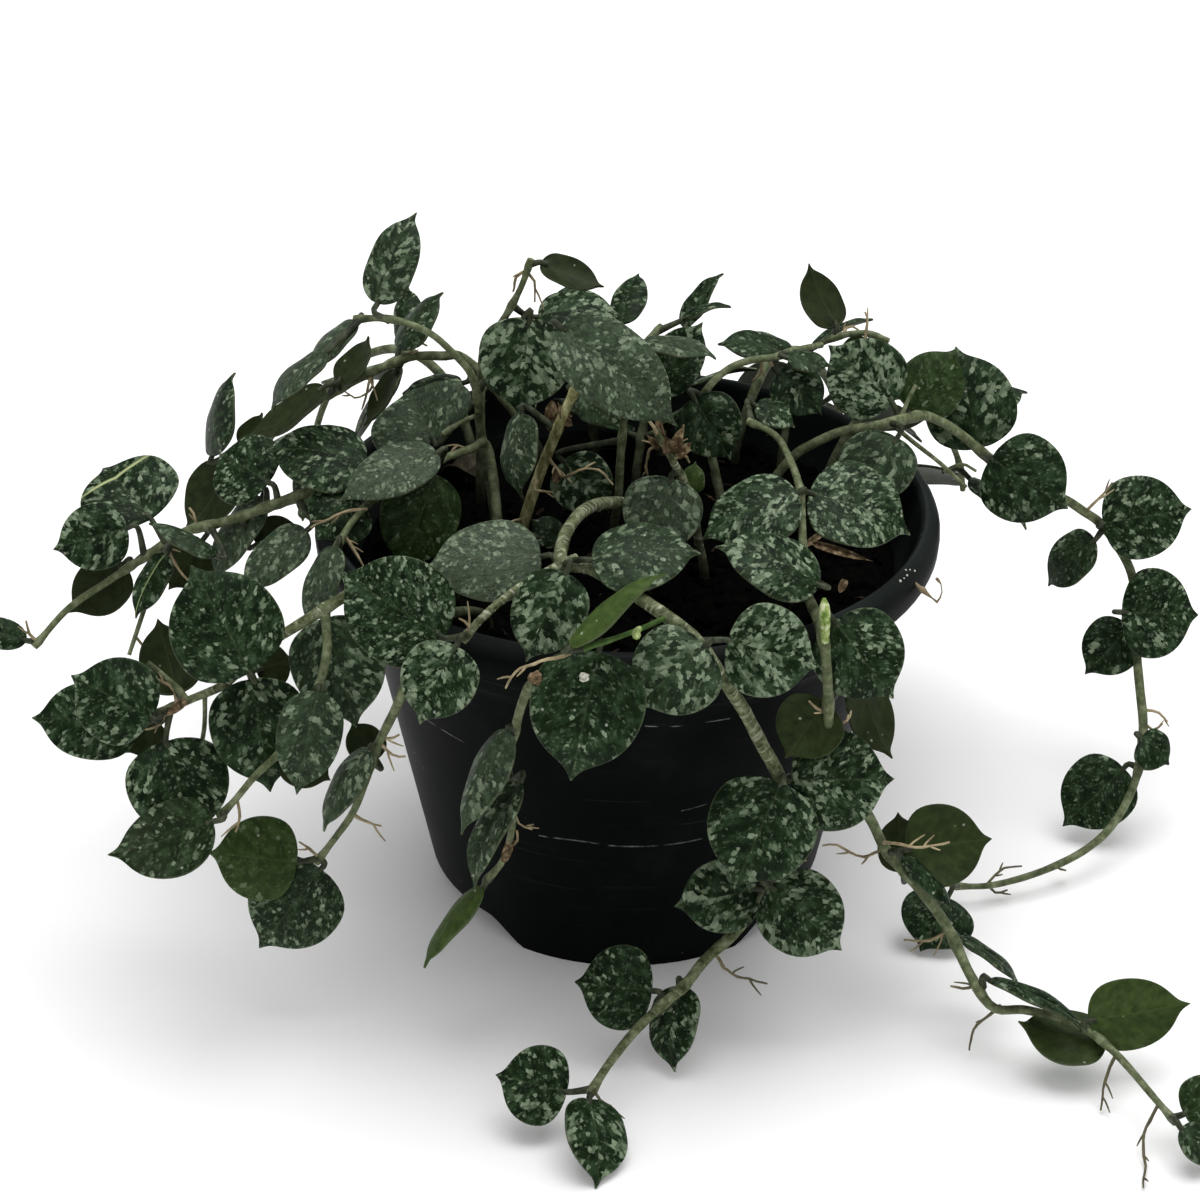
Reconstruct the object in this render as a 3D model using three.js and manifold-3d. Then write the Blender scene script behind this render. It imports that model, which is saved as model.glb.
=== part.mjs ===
// A potted hoya: a round black nursery pot, its potting soil, and the leafy
// vines that stand in it, arch over its rim and trail down to the surface.
// Millimetres, +Z up. The origin is the middle of the pot's underside.

import * as THREE from 'three';
import { mergeVertices } from 'three/addons/utils/BufferGeometryUtils.js';
import Module from 'manifold-3d';

const wasm = await Module();
wasm.setup();

// ---------------------------------------------------------------- sizes

const LIP_RADIUS = 70;            // widest circle of the pot's rolled lip
const LIP_HEIGHT = 92;            // height of that circle
const POT_HEIGHT = 96;            // top of the lip
const MOUTH_RADIUS = 66;          // inner edge of the lip
const COLLAR_HEIGHT = 77;         // where the wall steps out below the lip
const COLLAR_RADIUS = 62.5;
const WALL_RADIUS = 60;           // outside of the wall under the collar
const FOOT_RADIUS = 45;
const WALL = 2;
const FLOOR = 2.5;
const POT_SIDES = 36;

const NOTCH_COUNT = 3;            // drainage notches around the foot
const NOTCH_FIRST = -58.5;        // degrees from the front, clockwise seen from above
const NOTCH_SPAN = 58;
const NOTCH_HEIGHT = 5;
const NOTCH_DEPTH = 7;
const CUT_PAST = 3;               // how far a cutter runs past what it cuts

const SOIL_TOP = 84;
const SOIL_BOTTOM = 3;
const SOIL_BUMP = 1.6;
const GAP = 0.3;                  // clear space between touching pieces
const HOLE_BOTTOM = 72;           // foot of the plain holes that hold the stems
const DRIED_WIDTH = 0.75;         // of the dropped leaf, for a length of 1
const DRIED_CURL = 0.24;
const DRIED_HEIGHT = 85.3;          // of the ends of the dropped leaf

const STEM = 1.15;                // stem radius
const SHOOT = 0.8;                // young side shoots
const ROOT = 0.4;                 // aerial roots
const PETIOLE = 0.75;             // leaf stalks
const PETIOLE_FLATNESS = 0.85;
const ELBOW_NEAREST = 0.6;        // where a petiole bends, behind its blade
const ELBOW_FURTHEST = 2;
const NEARLY_STRAIGHT = 0.5;      // cosine of the bend that needs no elbow
const BLADE = 1.0;                // thickness of a leaf blade
const BLADE_WIDTH = 0.92;         // width of a blade for a length of 1
const BLADE_ARCH = 0.07;          // rise of its middle over its ends, for a length of 1
const BLADE_DROOP = 0.09;         // fall of its sides, for a width of 1
const TABLE_CLEAR = 0.25;         // lowest that a leaf may hang over the surface
const NO_VOLUME = 1e-6;           // mm3 that two clear solids may seem to share

// ------------------------------------------------- where things are seen
// Places on the vines are given as they are seen from the front of the pot:
// a point across and down a picture 1200 wide and 1200 high, and a height.

const EYE = new THREE.Vector3(0, -560, 391.4);
const EYE_DOWN = THREE.MathUtils.degToRad(29.86);
const EYE_LEFT = THREE.MathUtils.degToRad(0.624);
const EYE_FOCUS = 2825.3;
const PICTURE_MIDDLE = 600;

const forward = new THREE.Vector3(
  -Math.sin(EYE_LEFT) * Math.cos(EYE_DOWN),
  Math.cos(EYE_LEFT) * Math.cos(EYE_DOWN),
  -Math.sin(EYE_DOWN),
);
const rightward = new THREE.Vector3(Math.cos(EYE_LEFT), Math.sin(EYE_LEFT), 0);
const upward = new THREE.Vector3().crossVectors(rightward, forward);

// Direction from the eye to a picture point, one unit deep.
function sight(across, down) {
  return forward.clone()
    .addScaledVector(rightward, (across - PICTURE_MIDDLE) / EYE_FOCUS)
    .addScaledVector(upward, (PICTURE_MIDDLE - down) / EYE_FOCUS);
}

// The point of the picture at a height above the surface.
function seen(across, down, height) {
  const ray = sight(across, down);
  return EYE.clone().addScaledVector(ray, (height - EYE.z) / ray.z);
}

// The point of the picture at a depth in front of the eye.
function deepAt(across, down, depth) {
  return EYE.clone().addScaledVector(sight(across, down), depth);
}

function depthOf(point) {
  return point.clone().sub(EYE).dot(forward);
}

function pictureOf(point) {
  const from = point.clone().sub(EYE);
  const depth = from.dot(forward);
  return [
    PICTURE_MIDDLE + EYE_FOCUS * from.dot(rightward) / depth,
    PICTURE_MIDDLE - EYE_FOCUS * from.dot(upward) / depth,
  ];
}

const mm = (x, y, z) => new THREE.Vector3(x, y, z);

// A stem's first stretch, upright in its hole in the soil.
const planted = (x, y) => [mm(x, y, HOLE_BOTTOM + GAP), mm(x, y, 79), mm(x, y, 87)];

// A small seeded generator, so that every run grows the same plant.
function seeded(seed) {
  let state = seed;
  return () => {
    state = (state * 16807) % 2147483647;
    return state / 2147483647;
  };
}

// ---------------------------------------------------------------- solids

// A closed geometry as a solid, turned right side out if it needs it.
function solid(geometry, nearness = 1e-4) {
  const bare = geometry.clone();
  bare.deleteAttribute('normal');
  bare.deleteAttribute('uv');
  const merged = mergeVertices(bare, nearness);
  const at = merged.attributes.position.array;
  const index = merged.index.array;
  const corners = [];
  let volume = 0;
  for (let i = 0; i < index.length; i += 3) {
    const [a, b, c] = [index[i], index[i + 1], index[i + 2]];
    if (a === b || b === c || a === c) continue;
    corners.push(a, b, c);
    const [p, q, r] = [a, b, c].map((k) => new THREE.Vector3().fromArray(at, 3 * k));
    volume += p.dot(q.cross(r));
  }
  if (volume < 0) corners.reverse();
  return new wasm.Manifold(new wasm.Mesh({
    numProp: 3,
    vertProperties: new Float32Array(at),
    triVerts: new Uint32Array(corners),
  }));
}

// A solid's surface as a three.js geometry.
function surface(body) {
  const mesh = body.getMesh();
  const geometry = new THREE.BufferGeometry();
  geometry.setAttribute('position', new THREE.BufferAttribute(mesh.vertProperties, 3));
  geometry.setIndex(new THREE.BufferAttribute(mesh.triVerts, 1));
  geometry.computeVertexNormals();
  return geometry;
}

// The main body, with points that all but touch made one, and scraps dropped.
function mainBody(body) {
  let kept = body;
  for (let pass = 0; pass < 2; pass += 1) {
    const pieces = solid(surface(kept), 1e-3).decompose();
    pieces.sort((a, b) => b.volume() - a.volume());
    kept = pieces[0];
  }
  return kept;
}

const named = [];

function addPiece(name, body, colour, roughness) {
  const material = new THREE.MeshStandardMaterial({ color: colour, roughness, metalness: 0 });
  const mesh = new THREE.Mesh(surface(body), material);
  mesh.name = name;
  named.push(mesh);
}

function turned(points, sides) {
  const profile = points.map(([radius, height]) => new THREE.Vector2(radius, height));
  return solid(new THREE.LatheGeometry(profile, sides).rotateX(Math.PI / 2));
}

const curveThrough = (points) => new THREE.CatmullRomCurve3(points, false, 'centripetal');
const stepsAlong = (curve, step) => Math.max(1, Math.round(curve.getLength() / step));

// A tube of a few flat sides along a smooth curve through the points.
function tube(points, radius, sides, step) {
  const curve = curveThrough(points);
  const section = new THREE.Shape();
  for (let i = 0; i < sides; i += 1) {
    const angle = (2 * Math.PI * i) / sides;
    const x = radius * Math.cos(angle);
    const y = radius * Math.sin(angle);
    if (i === 0) section.moveTo(x, y);
    else section.lineTo(x, y);
  }
  section.closePath();
  const steps = stepsAlong(curve, step);
  return solid(new THREE.ExtrudeGeometry(section, { steps, extrudePath: curve }));
}

// ------------------------------------------------------------- the pot

const potOutside = [
  [0, 0],
  [FOOT_RADIUS, 0],
  [WALL_RADIUS, COLLAR_HEIGHT],
  [COLLAR_RADIUS, COLLAR_HEIGHT + 2],
  [COLLAR_RADIUS + 1.5, LIP_HEIGHT - 4],
  [LIP_RADIUS - 1, LIP_HEIGHT - 5],
  [LIP_RADIUS, LIP_HEIGHT],
  [LIP_RADIUS - 1, LIP_HEIGHT + 2.6],
  [MOUTH_RADIUS + 1.2, POT_HEIGHT],
];
const potInside = [
  [MOUTH_RADIUS, POT_HEIGHT - 0.4],
  [MOUTH_RADIUS - 2, LIP_HEIGHT - 2],
  [COLLAR_RADIUS - WALL, COLLAR_HEIGHT + 4],
  [WALL_RADIUS - WALL - 1, COLLAR_HEIGHT],
  [FOOT_RADIUS - WALL, FLOOR],
  [0, FLOOR],
];
let pot = turned([...potOutside, ...potInside], POT_SIDES);

// Radius of the pot's inside wall at a height.
function insideRadius(height) {
  const wall = potInside.slice(0, 5).reverse();
  for (let i = 1; i < wall.length; i += 1) {
    const [r0, z0] = wall[i - 1];
    const [r1, z1] = wall[i];
    if (height <= z1) return r0 + ((r1 - r0) * (height - z0)) / (z1 - z0);
  }
  return MOUTH_RADIUS;
}

for (let k = 0; k < NOTCH_COUNT; k += 1) {
  const notch = new THREE.Shape();
  const inner = FOOT_RADIUS - NOTCH_DEPTH;
  const outer = FOOT_RADIUS + CUT_PAST;
  const half = THREE.MathUtils.degToRad(NOTCH_SPAN / 2);
  notch.absarc(0, 0, outer, -half, half, false);
  notch.absarc(0, 0, inner, half, -half, true);
  notch.closePath();
  const cutter = new THREE.ExtrudeGeometry(notch, {
    depth: NOTCH_HEIGHT + CUT_PAST,
    bevelEnabled: false,
    curveSegments: 4,
  });
  const angle = THREE.MathUtils.degToRad(NOTCH_FIRST - 90 + (360 / NOTCH_COUNT) * k);
  pot = pot.subtract(solid(cutter.translate(0, 0, -CUT_PAST).rotateZ(angle)));
}

// ------------------------------------------------------------- the soil

const soilSide = [
  [0, SOIL_BOTTOM],
  [FOOT_RADIUS - NOTCH_DEPTH - 2, SOIL_BOTTOM],
  [insideRadius(10) - GAP, 10],
  [insideRadius(COLLAR_HEIGHT) - GAP - 0.2, COLLAR_HEIGHT],
  [insideRadius(SOIL_TOP - 2) - GAP - 0.3, SOIL_TOP - 2],
  [48, SOIL_TOP],
  [32, SOIL_TOP + 0.6],
  [16, SOIL_TOP],
  [0, SOIL_TOP + 0.8],
];
const soilShape = new THREE.LatheGeometry(
  soilSide.map(([radius, height]) => new THREE.Vector2(radius, height)), 16,
).rotateX(Math.PI / 2);
const soilAt = soilShape.attributes.position;
for (let i = 0; i < soilAt.count; i += 1) {
  const [x, y, z] = [soilAt.getX(i), soilAt.getY(i), soilAt.getZ(i)];
  const inner = Math.hypot(x, y) < 50 && z > COLLAR_HEIGHT + 4;
  const wave = Math.sin(x * 0.31 + 1.3) * Math.cos(y * 0.27 - 0.6) + Math.sin((x - y) * 0.17);
  if (inner) soilAt.setZ(i, z + SOIL_BUMP * 0.5 * wave);
}
let soil = solid(soilShape);

// ------------------------------------------------------------ the leaves

// Half of a blade's outline: how far along it is, and how wide there.
const OUTLINE = [[0.06, 0.56], [0.34, 1], [0.68, 0.82], [0.88, 0.24]];
const MIDRIB = [0.34, 0.68];
const RIM = 2 * OUTLINE.length + 2;

// Points of a thick, arched blade. A leaf's pose has its base, its axis (a unit
// vector), its facing (the unit normal of its upper side), length and width.
// They go two by two, upper face first: base, one side, tip, the other side, rib.
function bladePoints(pose, thickness, spread) {
  const side = new THREE.Vector3().crossVectors(pose.facing, pose.axis);
  const points = [];
  const put = (along, across) => {
    const rise = (pose.arch ?? BLADE_ARCH) * pose.length * 4 * along * (1 - along)
      - BLADE_DROOP * pose.width * across * across;
    for (const face of [0.5, -0.5]) {
      points.push(pose.base.clone()
        .addScaledVector(pose.axis, (0.5 + (along - 0.5) * spread) * pose.length)
        .addScaledVector(side, 0.5 * pose.width * across * spread)
        .addScaledVector(pose.facing, rise + face * thickness));
    }
  };
  put(0, 0);
  OUTLINE.forEach(([along, across]) => put(along, across));
  put(1, 0);
  [...OUTLINE].reverse().forEach(([along, across]) => put(along, -across));
  MIDRIB.forEach((along) => put(along, 0));
  return { points, side };
}

// The blade's faces, both sides split alike, with its rim but not its base.
function bladeFaces() {
  const [tip, near, far] = [OUTLINE.length + 1, RIM, RIM + 1];
  const upper = [
    [0, 1, near], [1, 2, near], [2, 3, far], [2, far, near], [3, 4, far], [4, tip, far],
    [0, near, 9], [9, near, 8], [8, far, 7], [8, near, far], [7, far, 6], [6, far, tip],
  ];
  const index = [];
  for (const [a, b, c] of upper) {
    index.push(2 * a, 2 * b, 2 * c);
    index.push(2 * a + 1, 2 * c + 1, 2 * b + 1);
  }
  for (let i = 0; i < RIM; i += 1) {
    const next = (i + 1) % RIM;
    index.push(2 * i, 2 * i + 1, 2 * next + 1);
    index.push(2 * i, 2 * next + 1, 2 * next);
  }
  return index;
}

function solidFrom(points, index) {
  const geometry = new THREE.BufferGeometry();
  const flat = points.flatMap((point) => point.toArray());
  geometry.setAttribute('position', new THREE.Float32BufferAttribute(flat, 3));
  geometry.setIndex(index);
  return solid(geometry);
}

function blade(pose, thickness, spread) {
  return solidFrom(bladePoints(pose, thickness, spread).points, bladeFaces());
}

// The way of a petiole from the blade's base to the middle of the stem. It leaves
// the blade straight behind, and then goes round where the stem isn't that way.
function petioleWay(pose) {
  const reach = pose.base.distanceTo(pose.node);
  const back = pose.axis.clone().negate();
  const behind = Math.min(ELBOW_FURTHEST, Math.max(ELBOW_NEAREST, 0.4 * reach));
  const elbow = pose.base.clone().addScaledVector(back, behind);
  const run = pose.node.clone().sub(elbow).normalize();
  if (run.dot(back) > NEARLY_STRAIGHT) return [pose.base, pose.node];
  return [pose.base, elbow, pose.node];
}

// A whole leaf: the blade, with its three-sided petiole running on from its base.
function wholeLeaf(pose) {
  const { points, side } = bladePoints(pose, BLADE, 1);
  const underLeft = points.length;
  const half = PETIOLE * PETIOLE_FLATNESS;
  const below = points[1].clone();
  points.push(below.clone().addScaledVector(side, -half));
  points[1] = below.addScaledVector(side, half);
  const index = bladeFaces();
  // The left half of the under face and rim starts from the new corner.
  const lastOfRim = [2 * RIM - 2, 2 * RIM - 1];
  for (let i = 0; i < index.length; i += 3) {
    const left = [0, 1, 2].some((k) => lastOfRim.includes(index[i + k]));
    if (!left) continue;
    for (let k = 0; k < 3; k += 1) if (index[i + k] === 1) index[i + k] = underLeft;
  }
  const ribUnder = 2 * RIM + 1;
  index.push(1, underLeft, ribUnder);

  let last = [0, 1, underLeft];
  const section = last.map((corner) => points[corner].clone().sub(pose.base));
  const back = pose.axis.clone().negate();
  const way = petioleWay(pose);
  for (let i = 1; i < way.length; i += 1) {
    const heading = back.clone();
    if (way.length === 3) {
      const run = way[2].clone().sub(way[1]).normalize();
      if (i === 2) heading.copy(run);
      else heading.add(run).addScaledVector(pose.facing, -0.05).normalize();
    }
    const turn = new THREE.Quaternion().setFromUnitVectors(back, heading);
    const next = section.map((corner) => (
      points.push(corner.clone().applyQuaternion(turn).add(way[i])) - 1
    ));
    for (let k = 0; k < 3; k += 1) {
      const [a, b, c, d] = [last[k], last[(k + 1) % 3], next[k], next[(k + 1) % 3]];
      index.push(a, c, d, a, d, b);
    }
    last = next;
  }
  index.push(last[0], last[2], last[1]);
  return solidFrom(points, index);
}

// The straight lengths of a petiole, as rods.
function petioleRods(pose, radius) {
  const way = petioleWay(pose);
  return way.slice(1).map((end, i) => tube([way[i], end], radius, 4, Infinity));
}

function nearest(points, distance) {
  const apart = points.map(distance);
  return points[apart.indexOf(Math.min(...apart))];
}

// A leaf as it is seen: the picture points of its base and its tip. tilt leans
// the tip away from the eye, turn rolls the blade to face upward, deep moves
// it back, wide is its width for a length of 1, under shows its underside.
const leaf = (base, tip, how = {}) => ({ base, tip, ...how });

function poseSeen(row, vine, change) {
  const [across, down] = row.node ?? row.base;
  const node = nearest(vine.line, (point) => {
    const [px, py] = pictureOf(point);
    return Math.hypot(px - across, py - down);
  });
  const depth = depthOf(node) + (row.deep ?? 0) + change.deep;
  const base = deepAt(row.base[0], row.base[1], depth);
  const level = deepAt(row.tip[0], row.tip[1], depth);
  const tilt = THREE.MathUtils.degToRad((row.tilt ?? 0) + change.tilt);
  const tip = deepAt(row.tip[0], row.tip[1], depth + base.distanceTo(level) * Math.tan(tilt));
  const axis = tip.clone().sub(base).normalize();
  const toEye = EYE.clone().sub(base).normalize();
  const facing = toEye.addScaledVector(axis, -toEye.dot(axis)).normalize();
  const side = new THREE.Vector3().crossVectors(axis, facing);
  const turn = THREE.MathUtils.degToRad((row.turn ?? 0) + change.turn) * Math.sign(side.z);
  facing.multiplyScalar(Math.cos(turn)).addScaledVector(side, Math.sin(turn));
  if (row.under) facing.negate();
  const length = base.distanceTo(tip);
  return { node, base, axis, facing, length, width: length * (row.wide ?? BLADE_WIDTH) };
}

// A leaf of a hidden stem: a share of the way along it, turned round it.
function poseGrown(row, vine, change) {
  const place = Math.min(vine.line.length - 2, Math.round(row.share * (vine.line.length - 1)));
  const node = vine.line[place];
  const along = vine.line[place + 1].clone().sub(node).normalize();
  const level = new THREE.Vector3().crossVectors(along, mm(0, 0, 1)).normalize();
  const over = new THREE.Vector3().crossVectors(level, along);
  const round = row.round + THREE.MathUtils.degToRad(change.turn * 1.6);
  const axis = level.multiplyScalar(Math.cos(round))
    .addScaledVector(over, Math.sin(round))
    .addScaledVector(along, 0.45 + change.tilt / 60)
    .addScaledVector(mm(0, 0, 1), row.lift)
    .normalize();
  const upright = mm(node.x, node.y, 0).normalize().multiplyScalar(0.5).add(mm(0, 0, 1));
  const facing = upright.addScaledVector(axis, -upright.dot(axis)).normalize();
  const reach = 4 + Math.max(0, change.deep) * 0.4;
  const base = node.clone().addScaledVector(axis, reach);
  return { node, base, axis, facing, length: row.length, width: row.length * BLADE_WIDTH };
}

// The ways a leaf may be bent, from the least to the most.
const BENDS = [];
for (const deep of [0, -2, 2, -4, 4, -6, 6, -9, 9, -13, 13]) {
  for (const turn of [0, 10, -10, 22, -22]) {
    for (const tilt of [0, 14, -14, 28, -28]) {
      BENDS.push({ deep, turn, tilt, cost: Math.abs(deep) * 3 + Math.abs(turn) + Math.abs(tilt) });
    }
  }
}
BENDS.sort((a, b) => a.cost - b.cost);

const standing = [];

function boxesMeet(a, b) {
  return [0, 1, 2].every((k) => a.min[k] < b.max[k] && b.min[k] < a.max[k]);
}

function keepClear(vineName, kind, body) {
  standing.push({ vineName, kind, body, box: body.boundingBox() });
}

// Whether a solid meets none of those that stand. A petiole starts in its own
// stem, and where there is no other way a leaf may lean on its own vine.
function isClear(vineName, kind, body, leansOnOwn) {
  const box = body.boundingBox();
  if (box.min[2] < TABLE_CLEAR) return false;
  return standing.every((other) => {
    if (!boxesMeet(box, other.box)) return true;
    if (other.vineName === vineName) {
      if (leansOnOwn) return true;
      if (kind === 'petiole' && other.kind !== 'blade') return true;
    }
    return body.intersect(other.body).volume() < NO_VOLUME;
  });
}

const SPREAD_CLEAR = 1.04;        // a blade is tried a little larger than it is

// Tries the bends in turn, and keeps the first that meets nothing else.
function settle(row, each, poseOf) {
  for (const leansOnOwn of [false, true]) {
    for (const change of BENDS) {
      const pose = poseOf(row, each, change);
      const body = blade(pose, BLADE + 2 * GAP, SPREAD_CLEAR);
      if (!isClear(each.name, 'blade', body, leansOnOwn)) continue;
      const rods = petioleRods(pose, PETIOLE + GAP);
      if (rods.every((rod) => isClear(each.name, 'petiole', rod, leansOnOwn))) return pose;
    }
    if (row.grown) return null;
  }
  return null;
}

// ------------------------------------------------------------- the vines

const vines = [];

const vine = (name, stems, roots, leaves) => vines.push({ name, stems, roots, leaves });
const stem = (radius, ...points) => ({ radius, points: points.flat() });

vine('vine_arch_left', [
  stem(STEM, planted(-30, 6), seen(480, 425, 108), seen(478, 402, 118), seen(471, 374, 126),
    seen(453, 353, 131), seen(428, 332, 135), seen(389, 319, 137), seen(354, 319, 136)),
  stem(SHOOT, seen(479, 412, 113), seen(458, 424, 113), seen(443, 434, 111)),
], [], [
  leaf([377, 303], [413, 212], { turn: 28, node: [389, 319] }),
  leaf([356, 321], [307, 374], { turn: 72 }),
  leaf([326, 352], [268, 406], { turn: 72, deep: 4 }),
  leaf([434, 440], [405, 388], { wide: 1.45, tilt: 35 }),
  leaf([530, 318], [519, 414], { wide: 0.98, node: [478, 395], deep: -4 }),
]);

vine('vine_left_back', [
  stem(STEM, planted(-20, 38), seen(462, 357, 110), seen(443, 356, 112), seen(410, 357, 112),
    seen(369, 374, 108), seen(331, 394, 103), seen(290, 418, 97), seen(250, 442, 90),
    seen(224, 459, 85)),
], [
  [seen(372, 374, 108), seen(370, 390, 103), seen(356, 398, 101), seen(345, 392, 103)],
  [seen(372, 375, 108), seen(366, 394, 104), seen(362, 410, 100)],
  [seen(410, 357, 112), seen(416, 342, 116), seen(428, 347, 115)],
], [
  leaf([398, 348], [442, 293], { turn: 66 }),
  leaf([339, 384], [371, 339], { turn: 60, under: true }),
  leaf([325, 388], [247, 440], { turn: 64, under: true }),
  leaf([398, 370], [365, 425], { turn: 64, under: true }),
  leaf([211, 456], [231, 373], { turn: 72 }),
  leaf([240, 444], [263, 414], { turn: 60, under: true }),
  leaf([462, 382], [403, 392], { turn: 68, deep: 8 }),
  leaf([230, 464], [189, 531], { turn: 45, under: true, deep: 5 }),
]);

vine('vine_top', [
  stem(STEM, planted(-34, 20), seen(482, 360, 120), seen(486, 346, 126), seen(508, 312, 137),
    seen(522, 285, 144), seen(531, 259, 150)),
], [
  [seen(528, 270, 147), seen(535, 284, 144), seen(534, 302, 140)],
  [seen(526, 272, 147), seen(516, 277, 146), seen(513, 292, 142)],
], [
  leaf([541, 263], [603, 286], { turn: 38, under: true }),
  leaf([538, 316], [620, 314], { turn: 48, deep: 10 }),
]);

vine('vine_old_wood', [
  stem(1.5, planted(-24, -2), seen(524, 522, 92), seen(540, 473, 104), seen(552, 443, 113),
    seen(563, 415, 121), seen(580, 379, 131), seen(584, 355, 137), seen(570, 335, 141)),
], [
  [seen(550, 474, 107), seen(566, 477, 108), seen(585, 468, 111), seen(600, 471, 110),
    seen(612, 484, 107)],
  [seen(538, 480, 103), seen(534, 489, 101), seen(553, 492, 101)],
  [seen(526, 518, 93), seen(512, 521, 94), seen(503, 526, 93)],
], [
  leaf([560, 326], [677, 422], { wide: 0.78, turn: 12 }),
  leaf([521, 414], [517, 496], { turn: 62, deep: -3 }),
  leaf([578, 391], [633, 414], { turn: 20, deep: 9 }),
  leaf([561, 541], [532, 520], { turn: 20, deep: 10 }),
]);

vine('vine_upright', [
  stem(STEM, planted(-3, 4), seen(618, 500, 95), seen(621, 450, 107), seen(626, 404, 118),
    seen(632, 375, 125), seen(645, 345, 130), seen(662, 326, 133)),
], [], [
  leaf([563, 461], [608, 512], { node: [619, 440], deep: 9 }),
  leaf([655, 392], [702, 323], { deep: 8 }),
  leaf([645, 341], [716, 353], { turn: 74 }),
  leaf([682, 319], [729, 303], { turn: 74 }),
  leaf([622, 390], [592, 425], { deep: 12, turn: 20 }),
]);

vine('vine_dry_roots', [
  stem(1.3, planted(17, -16), seen(698, 540, 94), seen(693, 505, 103), seen(683, 481, 109),
    seen(668, 452, 117), seen(655, 430, 122)),
], [
  [seen(668, 452, 117), seen(680, 440, 119), seen(683, 424, 122)],
  [seen(662, 442, 119), seen(650, 452, 114), seen(646, 468, 109), seen(650, 484, 104)],
  [seen(660, 440, 120), seen(652, 424, 124), seen(640, 412, 126)],
  [seen(672, 458, 115), seen(684, 455, 115), seen(690, 463, 112)],
], [
  leaf([671, 478], [650, 556], { deep: 7, wide: 1 }),
  leaf([692, 494], [695, 462], { wide: 0.8, turn: 20, deep: 3 }),
]);

vine('vine_front', [
  stem(1.4, planted(8, -8), seen(641, 514, 99), seen(630, 505, 103), seen(606, 503, 107),
    seen(585, 510, 110), seen(570, 526, 111.5), seen(563, 542, 111.5), seen(562, 562, 110),
    seen(590, 568, 109.5), seen(620, 586, 108), seen(650, 605, 106.5), seen(690, 635, 103),
    seen(712, 662, 98), seen(732, 692, 89.5), seen(745, 712, 83), seen(762, 745, 74),
    seen(778, 775, 66), seen(782, 805, 58), seen(777, 850, 46), seen(765, 888, 36),
    seen(735, 932, 26), seen(705, 960, 21.5), seen(684, 986, 18.5), seen(662, 1005, 16.5),
    seen(635, 1031, 14.5), seen(606, 1068, 12), seen(590, 1094, 10.5)),
  stem(1.3, seen(562, 562, 110), seen(530, 581, 108), seen(500, 602, 105.5),
    seen(480, 620, 103), seen(462, 641, 99)),
  stem(SHOOT, seen(668, 618, 105), seen(640, 629, 107), seen(610, 640, 108),
    seen(578, 650, 107)),
  stem(SHOOT, seen(640, 629, 107), seen(636, 633, 109.5), seen(637, 637, 111)),
], [
  [seen(580, 650, 107), seen(560, 655, 106), seen(535, 664, 104), seen(516, 672, 102),
    seen(505, 687, 98)],
  [seen(466, 638, 99.5), seen(468, 624, 103), seen(459, 618, 104)],
  [seen(588, 1096, 10.5), seen(601, 1100, 9), seen(614, 1110, 6)],
  [seen(712, 955, 22), seen(730, 972, 15), seen(768, 984, 9)],
  [seen(777, 852, 46), seen(789, 852, 44), seen(806, 861, 39)],
], [
  leaf([444, 638], [341, 573], { wide: 0.9 }),
  leaf([456, 646], [418, 722], { wide: 0.98, turn: 20 }),
  leaf([541, 556], [425, 568], { wide: 0.8, turn: 30, node: [560, 562] }),
  leaf([566, 573], [526, 660], { wide: 0.8, turn: 8 }),
  leaf([592, 559], [699, 552], { wide: 0.85, turn: 42, node: [575, 563] }),
  leaf([705, 645], [637, 706], { wide: 1.05 }),
  leaf([728, 640], [818, 666], { wide: 1.02, node: [694, 638] }),
  leaf([599, 652], [571, 779], { wide: 0.9, node: [601, 643], deep: 3 }),
  leaf([570, 646], [661, 571], { turn: 62, node: [578, 650], deep: -3, wide: 0.7 }),
  leaf([781, 783], [735, 887], { wide: 0.98, deep: 2 }),
  leaf([791, 780], [893, 779], { wide: 1.02, deep: -3 }),
  leaf([757, 889], [676, 906], { wide: 0.9 }),
  leaf([771, 886], [841, 950], { wide: 0.92 }),
  leaf([652, 991], [576, 982], { wide: 1.12 }),
  leaf([678, 986], [671, 1070], { wide: 0.75, turn: 38 }),
  leaf([567, 1092], [497, 1075], { wide: 1.12 }),
  leaf([590, 1098], [599, 1185], { wide: 0.8, turn: 34 }),
]);

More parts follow.
